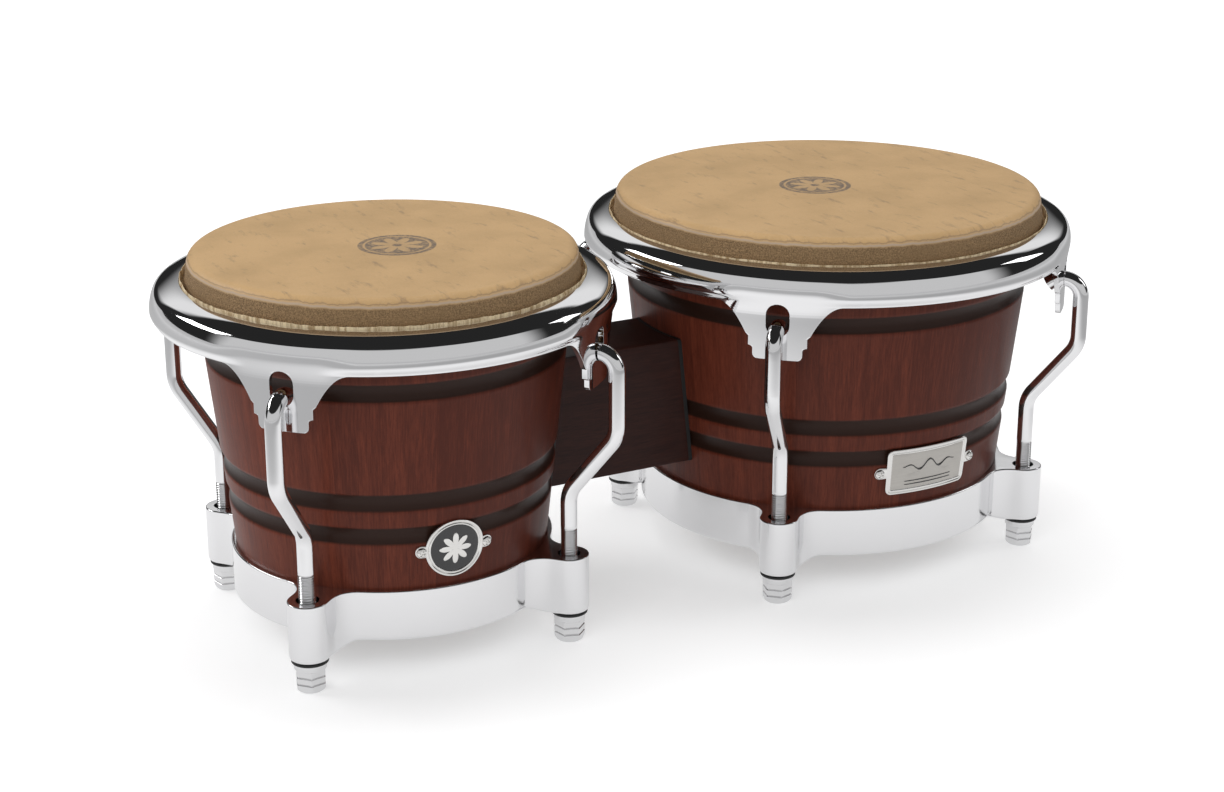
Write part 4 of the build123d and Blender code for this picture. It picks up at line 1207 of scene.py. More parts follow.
def washer_tree():
    """Flat washers with rounded edges, set at equal steps round the drum's axis."""
    tree, given, out = new_group("washers", "GeometryNodeTree", [
        ("NodeSocketGeometry", "Carrier", None), ("NodeSocketInt", "Count", 4),
        ("NodeSocketFloat", "Circle radius", 0.1), ("NodeSocketFloat", "Turn", 0.0),
        ("NodeSocketFloat", "Outer radius", 0.0087), ("NodeSocketFloat", "Wall", 0.004),
        ("NodeSocketFloat", "Thickness", 0.0013), ("NodeSocketVector", "Centre", (0, 0, 0)),
        ("NodeSocketMaterial", "Finish", None)], [("NodeSocketGeometry", "Washers")])
    middle = calc(tree, "SUBTRACT", given["Outer radius"], calc(tree, "MULTIPLY", given["Wall"], 0.5))
    loop = wire(tree, "GeometryNodeCurvePrimitiveCircle", {"Resolution": 64, "Radius": middle}).outputs[0]
    section = wire(tree, "GeometryNodeCurvePrimitiveQuadrilateral", {
        "Width": given["Wall"], "Height": given["Thickness"]}).outputs[0]
    section = wire(tree, "GeometryNodeFilletCurve", {
        "Curve": section, "Radius": calc(tree, "MULTIPLY", given["Thickness"], 0.3), "Count": 3},
        mode="POLY").outputs[0]
    washer = wire(tree, "GeometryNodeCurveToMesh", {"Curve": loop, "Profile Curve": section}).outputs[0]
    circle = wire(tree, "GeometryNodeMeshCircle", {"Vertices": given["Count"],
                                                   "Radius": given["Circle radius"]}).outputs[0]
    rotation = wire(tree, "ShaderNodeCombineXYZ", {"Z": given["Turn"]}).outputs[0]
    placed = wire(tree, "GeometryNodeTransform", {"Geometry": circle, "Translation": given["Centre"],
                                                  "Rotation": rotation}).outputs[0]
    copies = wire(tree, "GeometryNodeInstanceOnPoints", {"Points": placed, "Instance": washer}).outputs[0]
    real = wire(tree, "GeometryNodeRealizeInstances", {0: copies}).outputs[0]
    tree.links.new(wire(tree, "GeometryNodeSetMaterial", {"Geometry": real, "Material": given["Finish"]})
                   .outputs[0], out["Washers"])
    return tree


def empty_mesh(name):
    piece = bpy.data.objects.new(name, bpy.data.meshes.new(name))
    bpy.context.scene.collection.objects.link(piece)
    return piece


def make_washers(drum, tree, material):
    low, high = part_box(f"{drum.name}_washers")
    outer = (high.x - drum.centre) - drum.lug_radius * max(cos(a) for a in drum.lug_angles())
    bore = 4.72 * MM
    thickness = high.z - low.z
    piece = grow(empty_mesh(f"{drum.name}_foot_washers"), tree, circle_radius=drum.lug_radius,
                 turn=drum.first_angle, outer_radius=outer, wall=outer - bore, thickness=thickness,
                 centre=(drum.centre, 0, (low.z + high.z) / 2), finish=material)
    tidy(piece.data)
    dress(piece, material, "shells", "washer_rubber", f"{drum.name}_washers")


# ---------------------------------------------------------------- cast rings

def ring_outline(drum, ring, radius):
    """Plan of the cast ring round one lug direction: (x, y, outward x, outward y) at each point."""
    lug, boss, flank = drum.lug_radius, ring.boss_radius, ring.flank
    fillet_x = sqrt((radius + flank) ** 2 - (boss + flank) ** 2)
    fillet_angle = atan2(boss + flank, fillet_x)
    half = []
    for a in np.linspace(pi / 4, fillet_angle, 17)[:-1]:
        half.append((radius * cos(a), radius * sin(a), cos(a), sin(a)))
    for a in np.linspace(fillet_angle + pi, 1.5 * pi, 15):
        half.append((fillet_x + flank * cos(a), boss + flank + flank * sin(a), -cos(a), -sin(a)))
    for a in np.linspace(pi / 2, 0, 17):
        half.append((lug + boss * cos(a), boss * sin(a), cos(a), sin(a)))
    mirrored = [(x, -y, nx, -ny) for x, y, nx, ny in half[::-1][1:-1]]
    return half + mirrored


def make_cast_ring(drum, material):
    """Cast ring round the shell's foot: thin wall, ledge, and four bosses that flow into it."""
    scene = bpy.context.scene
    ring, shell, skin = scene.bongo_ring, scene.bongo_shell, scene.bongo_skin
    top, foot = drum.ring_top, drum.ring_base
    band_foot = foot + ring.boss_drop
    clearance = 0.15 * MM
    seat_top = drum.shell_radius(top, shell, skin) + clearance
    seat_low = drum.shell_radius(drum.shell_bottom, shell, skin) + clearance
    radius = seat_top + ring.wall
    ledge_inner = seat_low - ring.ledge
    columns = []
    for lug in drum.lug_angles():
        for x, y, nx, ny in ring_outline(drum, ring, radius):
            columns.append((x * cos(lug) + y * sin(lug), x * sin(lug) - y * cos(lug),
                            nx * cos(lug) + ny * sin(lug), nx * sin(lug) - ny * cos(lug)))
    lug_spots = [(drum.lug_radius * cos(a), drum.lug_radius * sin(a)) for a in drum.lug_angles()]

    def foot_height(x, y):
        off = min(hypot(x - lx, y - ly) for lx, ly in lug_spots)
        return foot + (band_foot - foot) * float(smoothstep(11.0 * MM, 25.0 * MM, off))

    rows_foot = [(ring.foot_round * (1 - cos(t)), ring.foot_round * (1 - sin(t)))
                 for t in np.linspace(0, pi / 2, 6)]
    grid = []
    for x, y, nx, ny in columns:
        angle = atan2(y, x)
        low = foot_height(x, y)
        column = [(seat_top * cos(angle), seat_top * sin(angle), top)]
        for t in np.linspace(0, pi / 2, 5):
            inset, drop = ring.top_round * (1 - sin(t)), ring.top_round * (1 - cos(t))
            column.append((x - nx * inset, y - ny * inset, top - drop))
        for share in (0.25, 0.5, 0.75):
            wall_top = top - ring.top_round
            column.append((x, y, wall_top + (low + ring.foot_round - wall_top) * share))
        for inset, rise in rows_foot:
            column.append((x - nx * inset, y - ny * inset, low + rise))
        edge_x, edge_y = x - nx * ring.foot_round, y - ny * ring.foot_round
        end_x, end_y = ledge_inner * cos(angle), ledge_inner * sin(angle)
        for share in (0.2, 0.4, 0.6, 0.8, 1.0):
            px, py = edge_x + (end_x - edge_x) * share, edge_y + (end_y - edge_y) * share
            column.append((px, py, foot_height(px, py)))
        column.append((end_x, end_y, drum.shell_bottom))
        column.append((seat_low * cos(angle), seat_low * sin(angle), drum.shell_bottom))
        grid.append([(drum.centre + px, py, pz) for px, py, pz in column])
    count = len(grid[0])
    points = [point for column in grid for point in column]
    piece = new_piece(f"{drum.name}_cast_ring", points, grid_faces(len(grid), count, True, True),
                      smooth_angle=42)
    cut_boss_holes(piece, drum, ring)
    weigh_normals(piece)
    dress(piece, material, "shells", "polished_casting", f"{drum.name}_bottom_ring")


def cut_boss_holes(piece, drum, ring):
    """Bores the rods' holes through the four bosses."""
    points, faces = [], []
    count = 40
    for lug in drum.lug_angles():
        x, y, _ = drum.place(drum.lug_radius, lug, 0)
        first = len(points)
        for z in (drum.ring_base - 5 * MM, drum.ring_top + 5 * MM):
            points += [(x + ring.boss_hole * cos(2 * pi * k / count),
                    y + ring.boss_hole * sin(2 * pi * k / count), z)
                       for k in range(count)]
        faces += grid_faces(2, count, False, True, first)
        faces += [tuple(range(first, first + count))[::-1], tuple(range(first + count, first + 2 * count))]
    cutter = new_piece(f"{drum.name}_cutter", points, faces)
    boolean = piece.modifiers.new("Holes", "BOOLEAN")
    boolean.operation, boolean.solver, boolean.object = "DIFFERENCE", "EXACT", cutter
    apply_modifiers(piece)
    bpy.data.objects.remove(cutter)
    piece.data.shade_smooth()
    piece.data.set_sharp_from_angle(angle=radians(42))


# ---------------------------------------------------------------- badges

def on_shell(drum, angle, height, u, v, lift):
    """Point on the shell's face: u metres round it, v up it, and lift off it."""
    scene = bpy.context.scene
    radius = drum.shell_radius(height + v, scene.bongo_shell, scene.bongo_skin) + lift
    middle = drum.shell_radius(height, scene.bongo_shell, scene.bongo_skin)
    return drum.place(radius, angle + u / middle, height + v)


def badge_place(drum):
    """Direction and height of a badge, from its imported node."""
    low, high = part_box(f"{drum.name}_badge")
    middle = (low + high) / 2
    return atan2(low.y, middle.x - drum.centre), middle.z


def plate_piece(name, drum, rings, back=0.05 * MM, middle=0.0):
    """Curved plate from rings of ((u, v) outline, height), outermost first, closed behind."""
    angle, height = badge_place(drum)
    count = len(rings[0][0])
    points = [on_shell(drum, angle, height, middle, 0, back)]
    for outline, lift in [(rings[0][0], back)] + rings:
        points += [on_shell(drum, angle, height, u, v, lift) for u, v in outline]
    points.append(on_shell(drum, angle, height, middle, 0, rings[-1][1]))
    rows = len(rings) + 1
    faces = [(0, 1 + (k + 1) % count, 1 + k) for k in range(count)]
    faces += grid_faces(rows, count, False, True, 1)
    last = 1 + (rows - 1) * count
    faces += [(len(points) - 1, last + k, last + (k + 1) % count) for k in range(count)]
    return new_piece(name, points, faces, smooth_angle=40)


def circle_outline(radius, count=96):
    return [(radius * cos(2 * pi * k / count), radius * sin(2 * pi * k / count)) for k in range(count)]


def plate_outline(width, height, corner, per_side=10):
    """Rounded rectangle with extra points along its sides, so that it can follow the shell."""
    x, y = width / 2 - corner, height / 2 - corner
    points = []
    for cx, cy, start in ((x, y, 0), (-x, y, pi / 2), (-x, -y, pi), (x, -y, 1.5 * pi)):
        points += arc((cx, cy), max(corner, 0.05 * MM), start, start + pi / 2, 6)
    dense = []
    for k, (ax, ay) in enumerate(points):
        bx, by = points[(k + 1) % len(points)]
        dense.append((ax, ay))
        if k % 7 == 6:
            dense += [(ax + (bx - ax) * t / per_side, ay + (by - ay) * t / per_side)
                      for t in range(1, per_side)]
    return dense


def make_badge_tabs(drum, reach, inner, material):
    """Screw tabs at each side of the badge, rounded at their ends."""
    badge = bpy.context.scene.bongo_badge
    lift = badge.thickness * 0.85
    for side, label in ((-1, "left"), (1, "right")):
        rings = []
        for inset, height in ((0, lift - 0.3 * MM), (0.08 * MM, lift - 0.1 * MM), (0.3 * MM, lift)):
            r = badge.tab_radius - inset
            half = arc((side * reach, 0), r, -pi / 2, pi / 2, 14) if side > 0 else \
                arc((side * reach, 0), r, pi / 2, 1.5 * pi, 14)
            back_x = side * inner
            half += [(back_x, half[-1][1] * 0.9), (back_x, 0), (back_x, half[0][1] * 0.9)]
            rings.append((half, height))
        piece = plate_piece(f"{drum.name}_badge_tab_{label}", drum, rings, middle=side * (reach + inner) / 2)
        dress(piece, material, "shells", "badge_metal")


def make_round_badge(drum, metal, dark):
    """Round badge: two polished rings round a dark enamel field with a plain raised flower."""
    badge = bpy.context.scene.bongo_badge
    full, thick = badge.round_radius, badge.thickness
    shape = ((0, 0.45), (0.05, 0.75), (0.3, 0.95), (0.75, 1.0), (1.15, 0.9), (1.4, 0.68), (1.6, 0.62),
             (1.75, 0.72), (2.0, 0.86), (2.35, 0.86), (2.6, 0.72), (2.7, 0.5))
    rings = [(circle_outline(full - inset * MM), thick * share) for inset, share in shape]
    piece = plate_piece(f"{drum.name}_round_badge", drum, rings)
    dress(piece, metal, "shells", "badge_metal", f"{drum.name}_badge")
    field = full - badge.border
    rings = [(circle_outline(field * share), thick * lift) for share, lift in
             ((1.0, 0.50), (0.985, 0.56), (0.95, 0.60), (0.8, 0.62), (0.5, 0.63), (0.2, 0.64))]
    piece = plate_piece(f"{drum.name}_badge_enamel", drum, rings)
    dress(piece, dark, "shells", "inlay_dark", f"{drum.name}_badge_inlay")
    make_flower(drum, field * 0.66, thick * 0.9, metal)
    make_badge_tabs(drum, 15.9 * MM, full - 1.0 * MM, metal)


def make_flower(drum, reach, lift, metal):
    """Plain raised eight-petal flower on the enamel."""
    count = 192
    turns = [2 * pi * k / count for k in range(count)]

    def outline(share):
        return [(share * reach * (0.42 + 0.58 * abs(cos(4 * t))) * cos(t),
                 share * reach * (0.42 + 0.58 * abs(cos(4 * t))) * sin(t)) for t in turns]

    rings = [(outline(1.0), lift - 0.2 * MM), (outline(0.97), lift - 0.05 * MM), (outline(0.9), lift),
             (outline(0.5), lift), (outline(0.3), lift - 0.1 * MM)]
    piece = plate_piece(f"{drum.name}_badge_flower", drum, rings)
    dress(piece, metal, "shells", "badge_metal")


def make_plate_badge(drum, metal, silver, dark):
    """Oblong plate: bright border round a brushed field with a plain wave line."""
    badge = bpy.context.scene.bongo_badge
    thick = badge.thickness

    def outline(inset):
        return plate_outline(badge.plate_width - 2 * inset, badge.plate_height - 2 * inset,
                             max(badge.plate_corner - inset, 0.9 * MM))

    shape = ((0, 0.5), (0.06, 0.8), (0.3, 0.96), (0.7, 1.0), (1.1, 0.97), (1.35, 0.8), (1.6, 0.74),
             (1.85, 0.8), (2.1, 0.88), (2.4, 0.86), (2.6, 0.66))
    rings = [(outline(inset * MM), thick * share) for inset, share in shape]
    piece = plate_piece(f"{drum.name}_plate_badge", drum, rings)
    dress(piece, metal, "shells", "badge_metal", f"{drum.name}_badge")
    rings = [(outline(badge.border + inset * MM), thick * lift) for inset, lift in
             ((0, 0.55), (0.1, 0.66), (0.3, 0.7), (2.0, 0.7), (5.0, 0.7), (8.0, 0.7))]
    piece = plate_piece(f"{drum.name}_badge_field", drum, rings)
    dress(piece, silver, "shells", "inlay_silver", f"{drum.name}_badge_inlay")
    make_wave(drum, thick * 0.86, dark)
    make_badge_tabs(drum, 27.4 * MM, badge.plate_width / 2 - 1.0 * MM, metal)


def make_wave(drum, lift, dark):
    """Plain engraved-looking wave lines across the plate's field."""
    angle, height = badge_place(drum)
    points, faces = [], []
    count = 120
    for level, swing, reach in ((2.2, 2.6, 15.5), (-5.6, 0.0, 14.0), (-7.4, 0.0, 14.0)):
        first = len(points)
        for k in range(count + 1):
            t = k / count
            u = (2 * t - 1) * reach * MM
            v = (level + swing * sin(5 * pi * t) * sin(pi * t)) * MM
            half = (0.16 + 0.34 * sin(pi * t) * (1 if swing else 0.3)) * MM
            for dv, dz in ((-half, -0.25 * MM), (-half * 0.8, 0), (half * 0.8, 0), (half, -0.25 * MM)):
                points.append(on_shell(drum, angle, height, u, v + dv, lift + dz))
        faces += grid_faces(count + 1, 4, False, True, first)
        faces += [tuple(first + k for k in range(4)), tuple(first + 4 * count + k for k in range(4))[::-1]]
    piece = new_piece(f"{drum.name}_badge_wave", points, faces, smooth_angle=40)
    dress(piece, dark, "shells", "inlay_dark")


def make_badge_screws(drum, reach, material):
    """Two round-head screws with crossed slots, facing out from the shell."""
    scene = bpy.context.scene
    angle, height = badge_place(drum)
    radius = drum.shell_radius(height, scene.bongo_shell, scene.bongo_skin)
    head, dome, slot, count = 2.5 * MM, 1.3 * MM, 0.32 * MM, 48
    seat = radius + scene.bongo_badge.thickness * 0.85
    shares = (0.0, 0.12, 0.2, 0.28, 0.36, 0.45, 0.55, 0.66, 0.78, 0.88, 0.95, 1.0)
    points, faces = [], []
    for side in (-1, 1):
        turn = angle + side * asin(reach / radius)
        out = Vector((cos(turn), sin(turn), 0))
        right, up = Vector((-sin(turn), cos(turn), 0)), Vector((0, 0, 1))
        middle = Vector(drum.place(seat, turn, height))
        first = len(points)
        for share in shares:
            for k in range(count):
                a = 2 * pi * k / count
                x, y = share * head * cos(a), share * head * sin(a)
                lift = dome * sqrt(max(1 - 0.92 * share ** 2.6, 0)) if share < 1 else 0.0
                tilt = a + radians(20)
                near = min(abs(share * head * cos(tilt)), abs(share * head * sin(tilt)))
                inside = 1 - float(smoothstep(1.35 * MM, 1.75 * MM, share * head))
                lift -= 0.7 * MM * inside * (1 - float(smoothstep(slot * 0.7, slot * 1.3, near)))
                points.append(middle + right * x + up * y + out * lift)
        for k in range(count):
            a = 2 * pi * k / count
            points.append(middle + right * head * cos(a) + up * head * sin(a) - out * 0.9 * MM)
        points.append(middle - out * 0.9 * MM)
        rows = len(shares) + 1
        faces += grid_faces(rows, count, False, True, first)
        last = first + (rows - 1) * count
        faces += [(len(points) - 1, last + k, last + (k + 1) % count) for k in range(count)]
    piece = new_piece(f"{drum.name}_badge_screw_heads", points, faces, smooth_angle=50)
    dress(piece, material, "shells", "badge_metal", f"{drum.name}_badge_screws")


# ---------------------------------------------------------------- block, pads and inside parts

def coped_piece(name, start, end, width, low, high, edge, slices):
    """Solid between two curved ends: start(y, z) and end(y, z) give x, with rounded long edges."""
    heights = sorted({low, low + 0.3 * edge, low + edge, high - edge, high - 0.3 * edge, high}
                     | set(np.linspace(low + edge, high - edge, 13)))
    shares = np.linspace(-1, 1, 13)
    grids = []
    for k in range(slices + 1):
        t = k / slices
        grid = []
        for z in heights:
            off = max(low + edge - z, z - high + edge, 0)
            half = width / 2 - edge + sqrt(max(edge ** 2 - off ** 2, 0))
            for share in shares:
                y = share * half
                a, b = start(y, z), end(y, z)
                grid.append((a + (b - a) * t, y, z))
        grids.append(grid)
    rows, columns = len(heights), len(shares)
    size = rows * columns
    points = grids[0] + [p for grid in grids[1:-1] for p in grid] + grids[-1]
    faces = grid_faces(rows, columns, False, False)
    faces += grid_faces(rows, columns, False, False, slices * size)
    border = [c for c in range(columns)] + [r * columns + columns - 1 for r in range(1, rows)]
    border += [(rows - 1) * columns + c for c in range(columns - 2, -1, -1)]
    border += [r * columns for r in range(rows - 2, 0, -1)]
    for k in range(slices):
        for n, a in enumerate(border):
            b = border[(n + 1) % len(border)]
            faces.append((k * size + a, k * size + b, (k + 1) * size + b, (k + 1) * size + a))
    piece = new_piece(name, points, faces, smooth_angle=40)
    drop_loose(piece.data)
    return piece


def drop_loose(mesh):
    work = bmesh.new()
    work.from_mesh(mesh)
    bmesh.ops.delete(work, geom=[v for v in work.verts if not v.link_faces], context="VERTS")
    work.to_mesh(mesh)
    work.free()


def make_block():
    """Hardwood block between the drums, coped to both shells."""
    scene = bpy.context.scene
    shell, skin, block = scene.bongo_shell, scene.bongo_skin, scene.bongo_block
    low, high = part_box("centre_block")
    small, large = DRUMS["small"], DRUMS["large"]
    pad = 2.0 * MM

    def face(drum, side, gap):
        return lambda y, z: drum.centre + side * sqrt(
            (drum.shell_radius(z, shell, skin) + gap) ** 2 - y ** 2)

    piece = coped_piece("hardwood_block", face(small, 1, pad), face(large, -1, pad), high.y - low.y,
                        low.z, high.z, block.edge, 16)
    spots = np.array([v.co for v in piece.data.vertices])
    lay_uv(piece.data, spots[:, 1] + spots[:, 2], spots[:, 0])
    weigh_normals(piece)
    dress(piece, stained_wood("dark_block_wood", block.wood_light, block.wood_dark), "shells",
          "block_wood", "centre_block")
    rubber = black_rubber("pad_rubber")
    for drum, side in ((small, 1), (large, -1)):
        piece = coped_piece(f"{drum.name}_shell_pad", face(drum, side, 0.05 * MM), face(drum, side, pad),
                            high.y - low.y + 0.2 * MM, low.z - 0.1 * MM, high.z + 0.1 * MM, block.edge, 1)
        dress(piece, rubber, "shells", "pad_rubber", f"{drum.name}_block_pad")


def finish_inside_parts():
    """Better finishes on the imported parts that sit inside: hoops, saddles, bolts and inserts."""
    steel = brushed("zinc_steel", (0.50, 0.50, 0.52))
    brass = brushed("turned_brass", (0.62, 0.44, 0.18))
    plain = [f"{name}_{part}" for name in DRUMS for part in ("flesh_hoop", "saddle_plate", "block_bolts")]
    for name, material in [(n, steel) for n in plain] + [("block_inserts", brass)]:
        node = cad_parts[name]
        if not node.material_slots:
            node.data.materials.append(material)
        node.material_slots[0].material = material


# ---------------------------------------------------------------- stage

def make_stage():
    """Pale floor, soft overhead and side light, plain surroundings, and the camera."""
    scene = bpy.context.scene
    stage = scene.bongo_stage
    reach, count = 14.0, 96
    mesh = bpy.data.meshes.new("studio_floor")
    rim = [(reach * cos(2 * pi * k / count), reach * sin(2 * pi * k / count), 0) for k in range(count)]
    mesh.from_pydata(rim, [], [tuple(range(count))])
    floor = bpy.data.objects.new("studio_floor", mesh)
    scene.collection.objects.link(floor)
    material, tree, shader = new_material("pale_floor")
    shader.inputs["Roughness"].default_value = 0.9
    shader.inputs["Specular IOR Level"].default_value = 0.1
    shader.inputs["Emission Color"].default_value = (1, 1, 1, 1)
    out = wire(tree, "ShaderNodeVectorMath", {0: wire(tree, "ShaderNodeTexCoord").outputs["Object"]},
               operation="LENGTH").outputs["Value"]
    glow = calc(tree, "ADD", stage.floor_glow, ramp(tree, out, 0.6, 2.2, 0.0, 0.8))
    rays = wire(tree, "ShaderNodeLightPath").outputs
    near = calc(tree, "ADD", ramp(tree, out, 0.30, 0.62, stage.floor_mirror_glow, 0.0),
                ramp(tree, out, 0.9, 2.0, 0.0, 0.3))
    glow = calc(tree, "ADD", calc(tree, "MULTIPLY", glow, rays["Is Camera Ray"]),
                calc(tree, "MULTIPLY", near, rays["Is Glossy Ray"]))
    tree.links.new(glow, shader.inputs["Emission Strength"])
    # Painted shade in reflections: chrome sees the floor at this share of its colour, with the glow above
    # added near the drums.
    mirrored_share = 0.58
    in_chrome = toned(stage.floor, mirrored_share)
    tree.links.new(blend_colours(tree, rays["Is Glossy Ray"], tuple(stage.floor), in_chrome),
                   shader.inputs["Base Color"])
    mesh.materials.append(material)
    ahead = Vector((sin(stage.turn), cos(stage.turn), 0))
    left, up = Vector((-ahead.y, ahead.x, 0)), Vector((0, 0, 1))
    key = add_light("overhead_softbox", ahead * 0.35 + up * 1.95, (1.5, 0.9), stage.key_power)
    add_light("left_softbox", ahead * 0.25 + left * 1.50 + up * 0.95, (1.0, 0.40), stage.side_power)
    add_light("right_softbox", ahead * 0.5 - left * 1.7 + up * 0.9, (0.5, 0.8), stage.side_power * 0.4)
    fill = add_light("front_fill", ahead * -1.7 + left * 0.5 + up * 1.2, (1.4, 1.0), stage.fill_power)
    key.visible_glossy = fill.visible_glossy = False
    light_surroundings(scene, stage)
    data = bpy.data.cameras.new("camera")
    data.lens, data.sensor_width, data.clip_end = stage.lens, 36.0, 100.0
    camera = bpy.data.objects.new("camera", data)
    scene.collection.objects.link(camera)
    forward = ahead * cos(stage.tilt) + up * sin(stage.tilt)
    camera.location = stage.eye
    camera.rotation_mode = "QUATERNION"
    camera.rotation_quaternion = forward.to_track_quat("-Z", "Y")
    scene.camera = camera
    scene.view_settings.view_transform = "Standard"


def add_light(name, place, size, power):
    """Softbox of a width and height, aimed at the middle of the drums."""
    data = bpy.data.lights.new(name, "AREA")
    data.shape, data.size, data.size_y = "RECTANGLE", size[0], size[1]
    data.energy = power
    light = bpy.data.objects.new(name, data)
    light.location = place
    light.rotation_mode = "QUATERNION"
    light.rotation_quaternion = (Vector((0, 0, 0.1)) - place).to_track_quat("-Z", "Y")
    bpy.context.scene.collection.objects.link(light)
    return light


def light_surroundings(scene, stage):
    """Room: a pale panel behind, a grey card on the camera's side, dark elsewhere, white to the eye."""
    world = bpy.data.worlds.new("studio")
    scene.world = world
    world.use_nodes = True
    tree = world.node_tree
    direction = wire(tree, "ShaderNodeTexCoord").outputs["Generated"]
    away = wire(tree, "ShaderNodeVectorMath", {0: direction, 1: (sin(stage.turn), cos(stage.turn), 0)},
                operation="DOT_PRODUCT").outputs["Value"]
    up = wire(tree, "ShaderNodeSeparateXYZ", {0: direction}).outputs["Z"]
    panel = calc(tree, "MULTIPLY", ramp(tree, up, 0.52, 0.56, 1.0, 0.0),
                 ramp(tree, up, 0.18, 0.40, 0.0, 0.80))
    panel = calc(tree, "MULTIPLY", panel, ramp(tree, away, 0.72, 0.80))
    card = calc(tree, "MULTIPLY", ramp(tree, up, 0.44, 0.47, 0.58, 0.0),
                ramp(tree, away, -0.3, 0.0, 1.0, 0.0))
    panel = calc(tree, "ADD", panel, card)
    rays = wire(tree, "ShaderNodeLightPath").outputs
    even = calc(tree, "MULTIPLY", rays["Is Diffuse Ray"], stage.ambient)
    strength = calc(tree, "MAXIMUM", calc(tree, "MAXIMUM", calc(tree, "ADD", panel, 0.02), even),
                    rays["Is Camera Ray"])
    back = tree.nodes["Background"]
    back.inputs["Color"].default_value = (1, 1, 1, 1)
    tree.links.new(strength, back.inputs["Strength"])


# ---------------------------------------------------------------- operators and panel

class MakeOperator(bpy.types.Operator):
    """Shared options of the building steps"""
    bl_options = {"REGISTER", "UNDO"}


class BONGO_OT_shells(MakeOperator):
    """Build the two stave shells"""
    bl_idname = "bongo.shells"
    bl_label = "Shells"

    def execute(self, context):
        for drum in DRUMS.values():
            make_shell(drum)
        return {"FINISHED"}


class BONGO_OT_skins(MakeOperator):
    """Build the skins and their trimmed tails"""
    bl_idname = "bongo.skins"
    bl_label = "Skins"

    def execute(self, context):
        tail = skin_tail(context.scene.bongo_skin)
        for drum in DRUMS.values():
            make_skin(drum)
            make_tail(drum, tail)
        return {"FINISHED"}


class BONGO_OT_rims(MakeOperator):
    """Build the pressed rims with their slotted ears"""
    bl_idname = "bongo.rims"
    bl_label = "Rims"

    def execute(self, context):
        chrome = plated("rim_chrome", tuple(context.scene.bongo_rim.chrome), 0.025, 0.07)
        for drum in DRUMS.values():
            make_rim(drum, chrome)
        return {"FINISHED"}


class BONGO_OT_tuners(MakeOperator):
    """Build the tuning rods, their nuts and the foot washers"""
    bl_idname = "bongo.tuners"
    bl_label = "Tuning rods, nuts and washers"

    def execute(self, context):
        tint = tuple(context.scene.bongo_rim.chrome)
        # The rods and nuts get painted shade in their thread valleys and grooves, strongest on the rods.
        rod_chrome = plated("rod_chrome", tint, 0.05, 0.12, ripple=0.05, hollow_shade=0.9)
        nut_chrome = plated("nut_chrome", toned(tint, 0.9), 0.09, 0.20,
                            ripple=0.06, dust=0.08, hollow_shade=0.4)
        rubber = black_rubber("washer_rubber")
        rods, washers = rod_tree(), washer_tree()
        for drum in DRUMS.values():
            make_rods(drum, rods, rod_chrome)
            make_washers(drum, washers, rubber)
            for side, angle in zip(SIDES, drum.lug_angles()):
                make_nut(drum, side, angle, nut_chrome)
        return {"FINISHED"}


class BONGO_OT_rings(MakeOperator):
    """Build the cast rings round the feet of the shells"""
    bl_idname = "bongo.rings"
    bl_label = "Cast rings"

    def execute(self, context):
        casting = plated("plated_casting", tuple(context.scene.bongo_ring.casting), 0.13, 0.24, ripple=0.10)
        for drum in DRUMS.values():
            make_cast_ring(drum, casting)
        return {"FINISHED"}


class BONGO_OT_badges(MakeOperator):
    """Build the badges, their fields and their screws"""
    bl_idname = "bongo.badges"
    bl_label = "Badges"

    def execute(self, context):
        badge = context.scene.bongo_badge
        metal = plated("badge_plate", tuple(badge.metal), 0.10, 0.22)
        dark = enamel("dark_enamel", tuple(badge.enamel))
        silver = brushed("brushed_field", tuple(badge.silver))
        make_round_badge(DRUMS["small"], metal, dark)
        make_plate_badge(DRUMS["large"], metal, silver, dark)
        make_badge_screws(DRUMS["small"], 15.9 * MM, metal)
        make_badge_screws(DRUMS["large"], 27.4 * MM, metal)
        return {"FINISHED"}


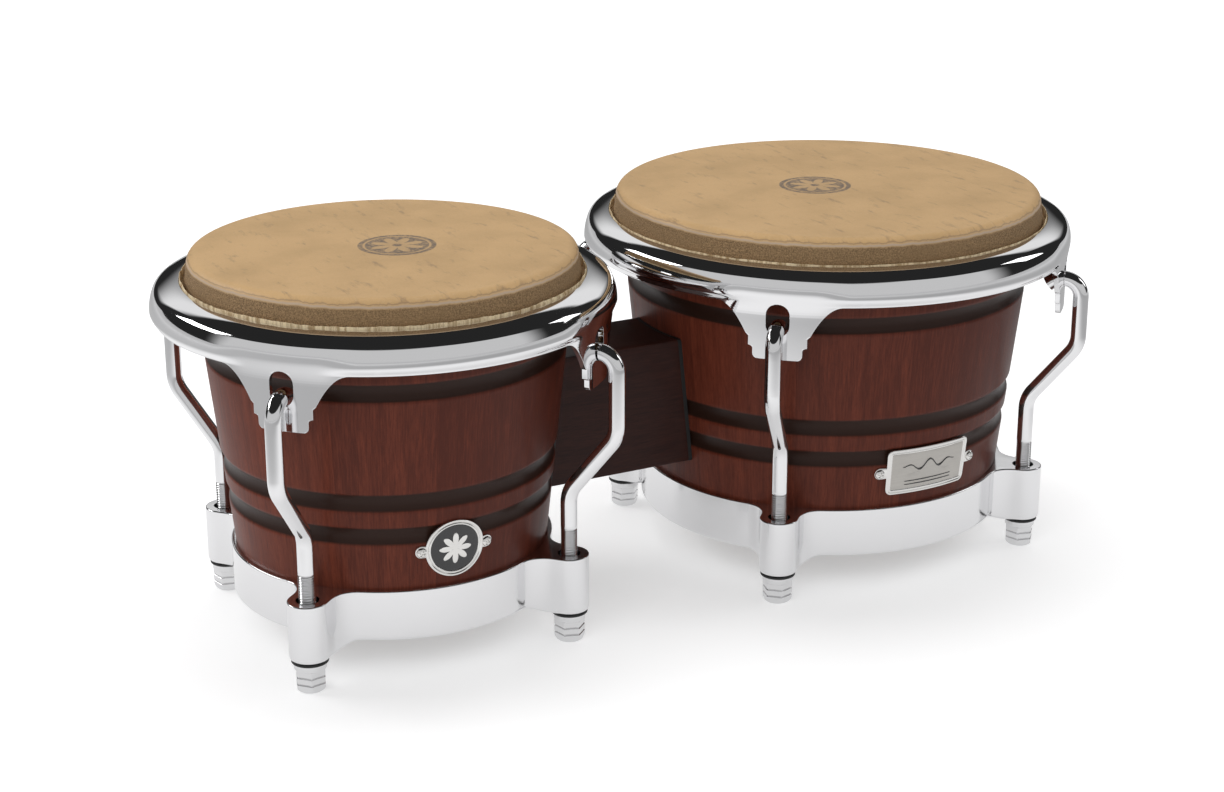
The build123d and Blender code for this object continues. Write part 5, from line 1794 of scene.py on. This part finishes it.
class BONGO_OT_block(MakeOperator):
    """Build the centre block and its pads, and finish the parts inside"""
    bl_idname = "bongo.block"
    bl_label = "Centre block and inside parts"

    def execute(self, context):
        make_block()
        finish_inside_parts()
        return {"FINISHED"}


class BONGO_OT_stage(MakeOperator):
    """Lay the floor, set the lights and place the camera"""
    bl_idname = "bongo.stage"
    bl_label = "Stage"

    def execute(self, context):
        make_stage()
        return {"FINISHED"}


STEPS = (BONGO_OT_shells, BONGO_OT_skins, BONGO_OT_rims, BONGO_OT_tuners, BONGO_OT_rings,
         BONGO_OT_badges, BONGO_OT_block, BONGO_OT_stage)
SETTINGS = {"bongo_shell": ShellSettings, "bongo_skin": SkinSettings, "bongo_rim": RimSettings,
            "bongo_rod": RodSettings, "bongo_ring": RingSettings, "bongo_badge": BadgeSettings,
            "bongo_block": BlockSettings, "bongo_stage": StageSettings}


class BONGO_PT_panel(bpy.types.Panel):
    """Sidebar panel that lists the building steps"""
    bl_idname = "BONGO_PT_panel"
    bl_label = "Bongo drums"
    bl_space_type = "VIEW_3D"
    bl_region_type = "UI"
    bl_category = "Bongos"

    def draw(self, context):
        for step in STEPS:
            self.layout.operator(step.bl_idname)
        for name, kind in SETTINGS.items():
            box = self.layout.box()
            box.label(text=name.replace("bongo_", "").capitalize())
            for prop in kind.__annotations__:
                box.prop(getattr(context.scene, name), prop)


def register():
    for cls in (*SETTINGS.values(), *STEPS, BONGO_PT_panel):
        bpy.utils.register_class(cls)
    for name, kind in SETTINGS.items():
        setattr(bpy.types.Scene, name, PointerProperty(type=kind))


def unregister():
    for name in SETTINGS:
        delattr(bpy.types.Scene, name)
    for cls in reversed((*SETTINGS.values(), *STEPS, BONGO_PT_panel)):
        bpy.utils.unregister_class(cls)


def main():
    register()
    bpy.ops.bongo.shells()
    bpy.ops.bongo.skins()
    bpy.ops.bongo.rims()
    bpy.ops.bongo.tuners()
    bpy.ops.bongo.rings()
    bpy.ops.bongo.badges()
    bpy.ops.bongo.block()
    bpy.ops.bongo.stage()


if __name__ == "__main__":
    main()
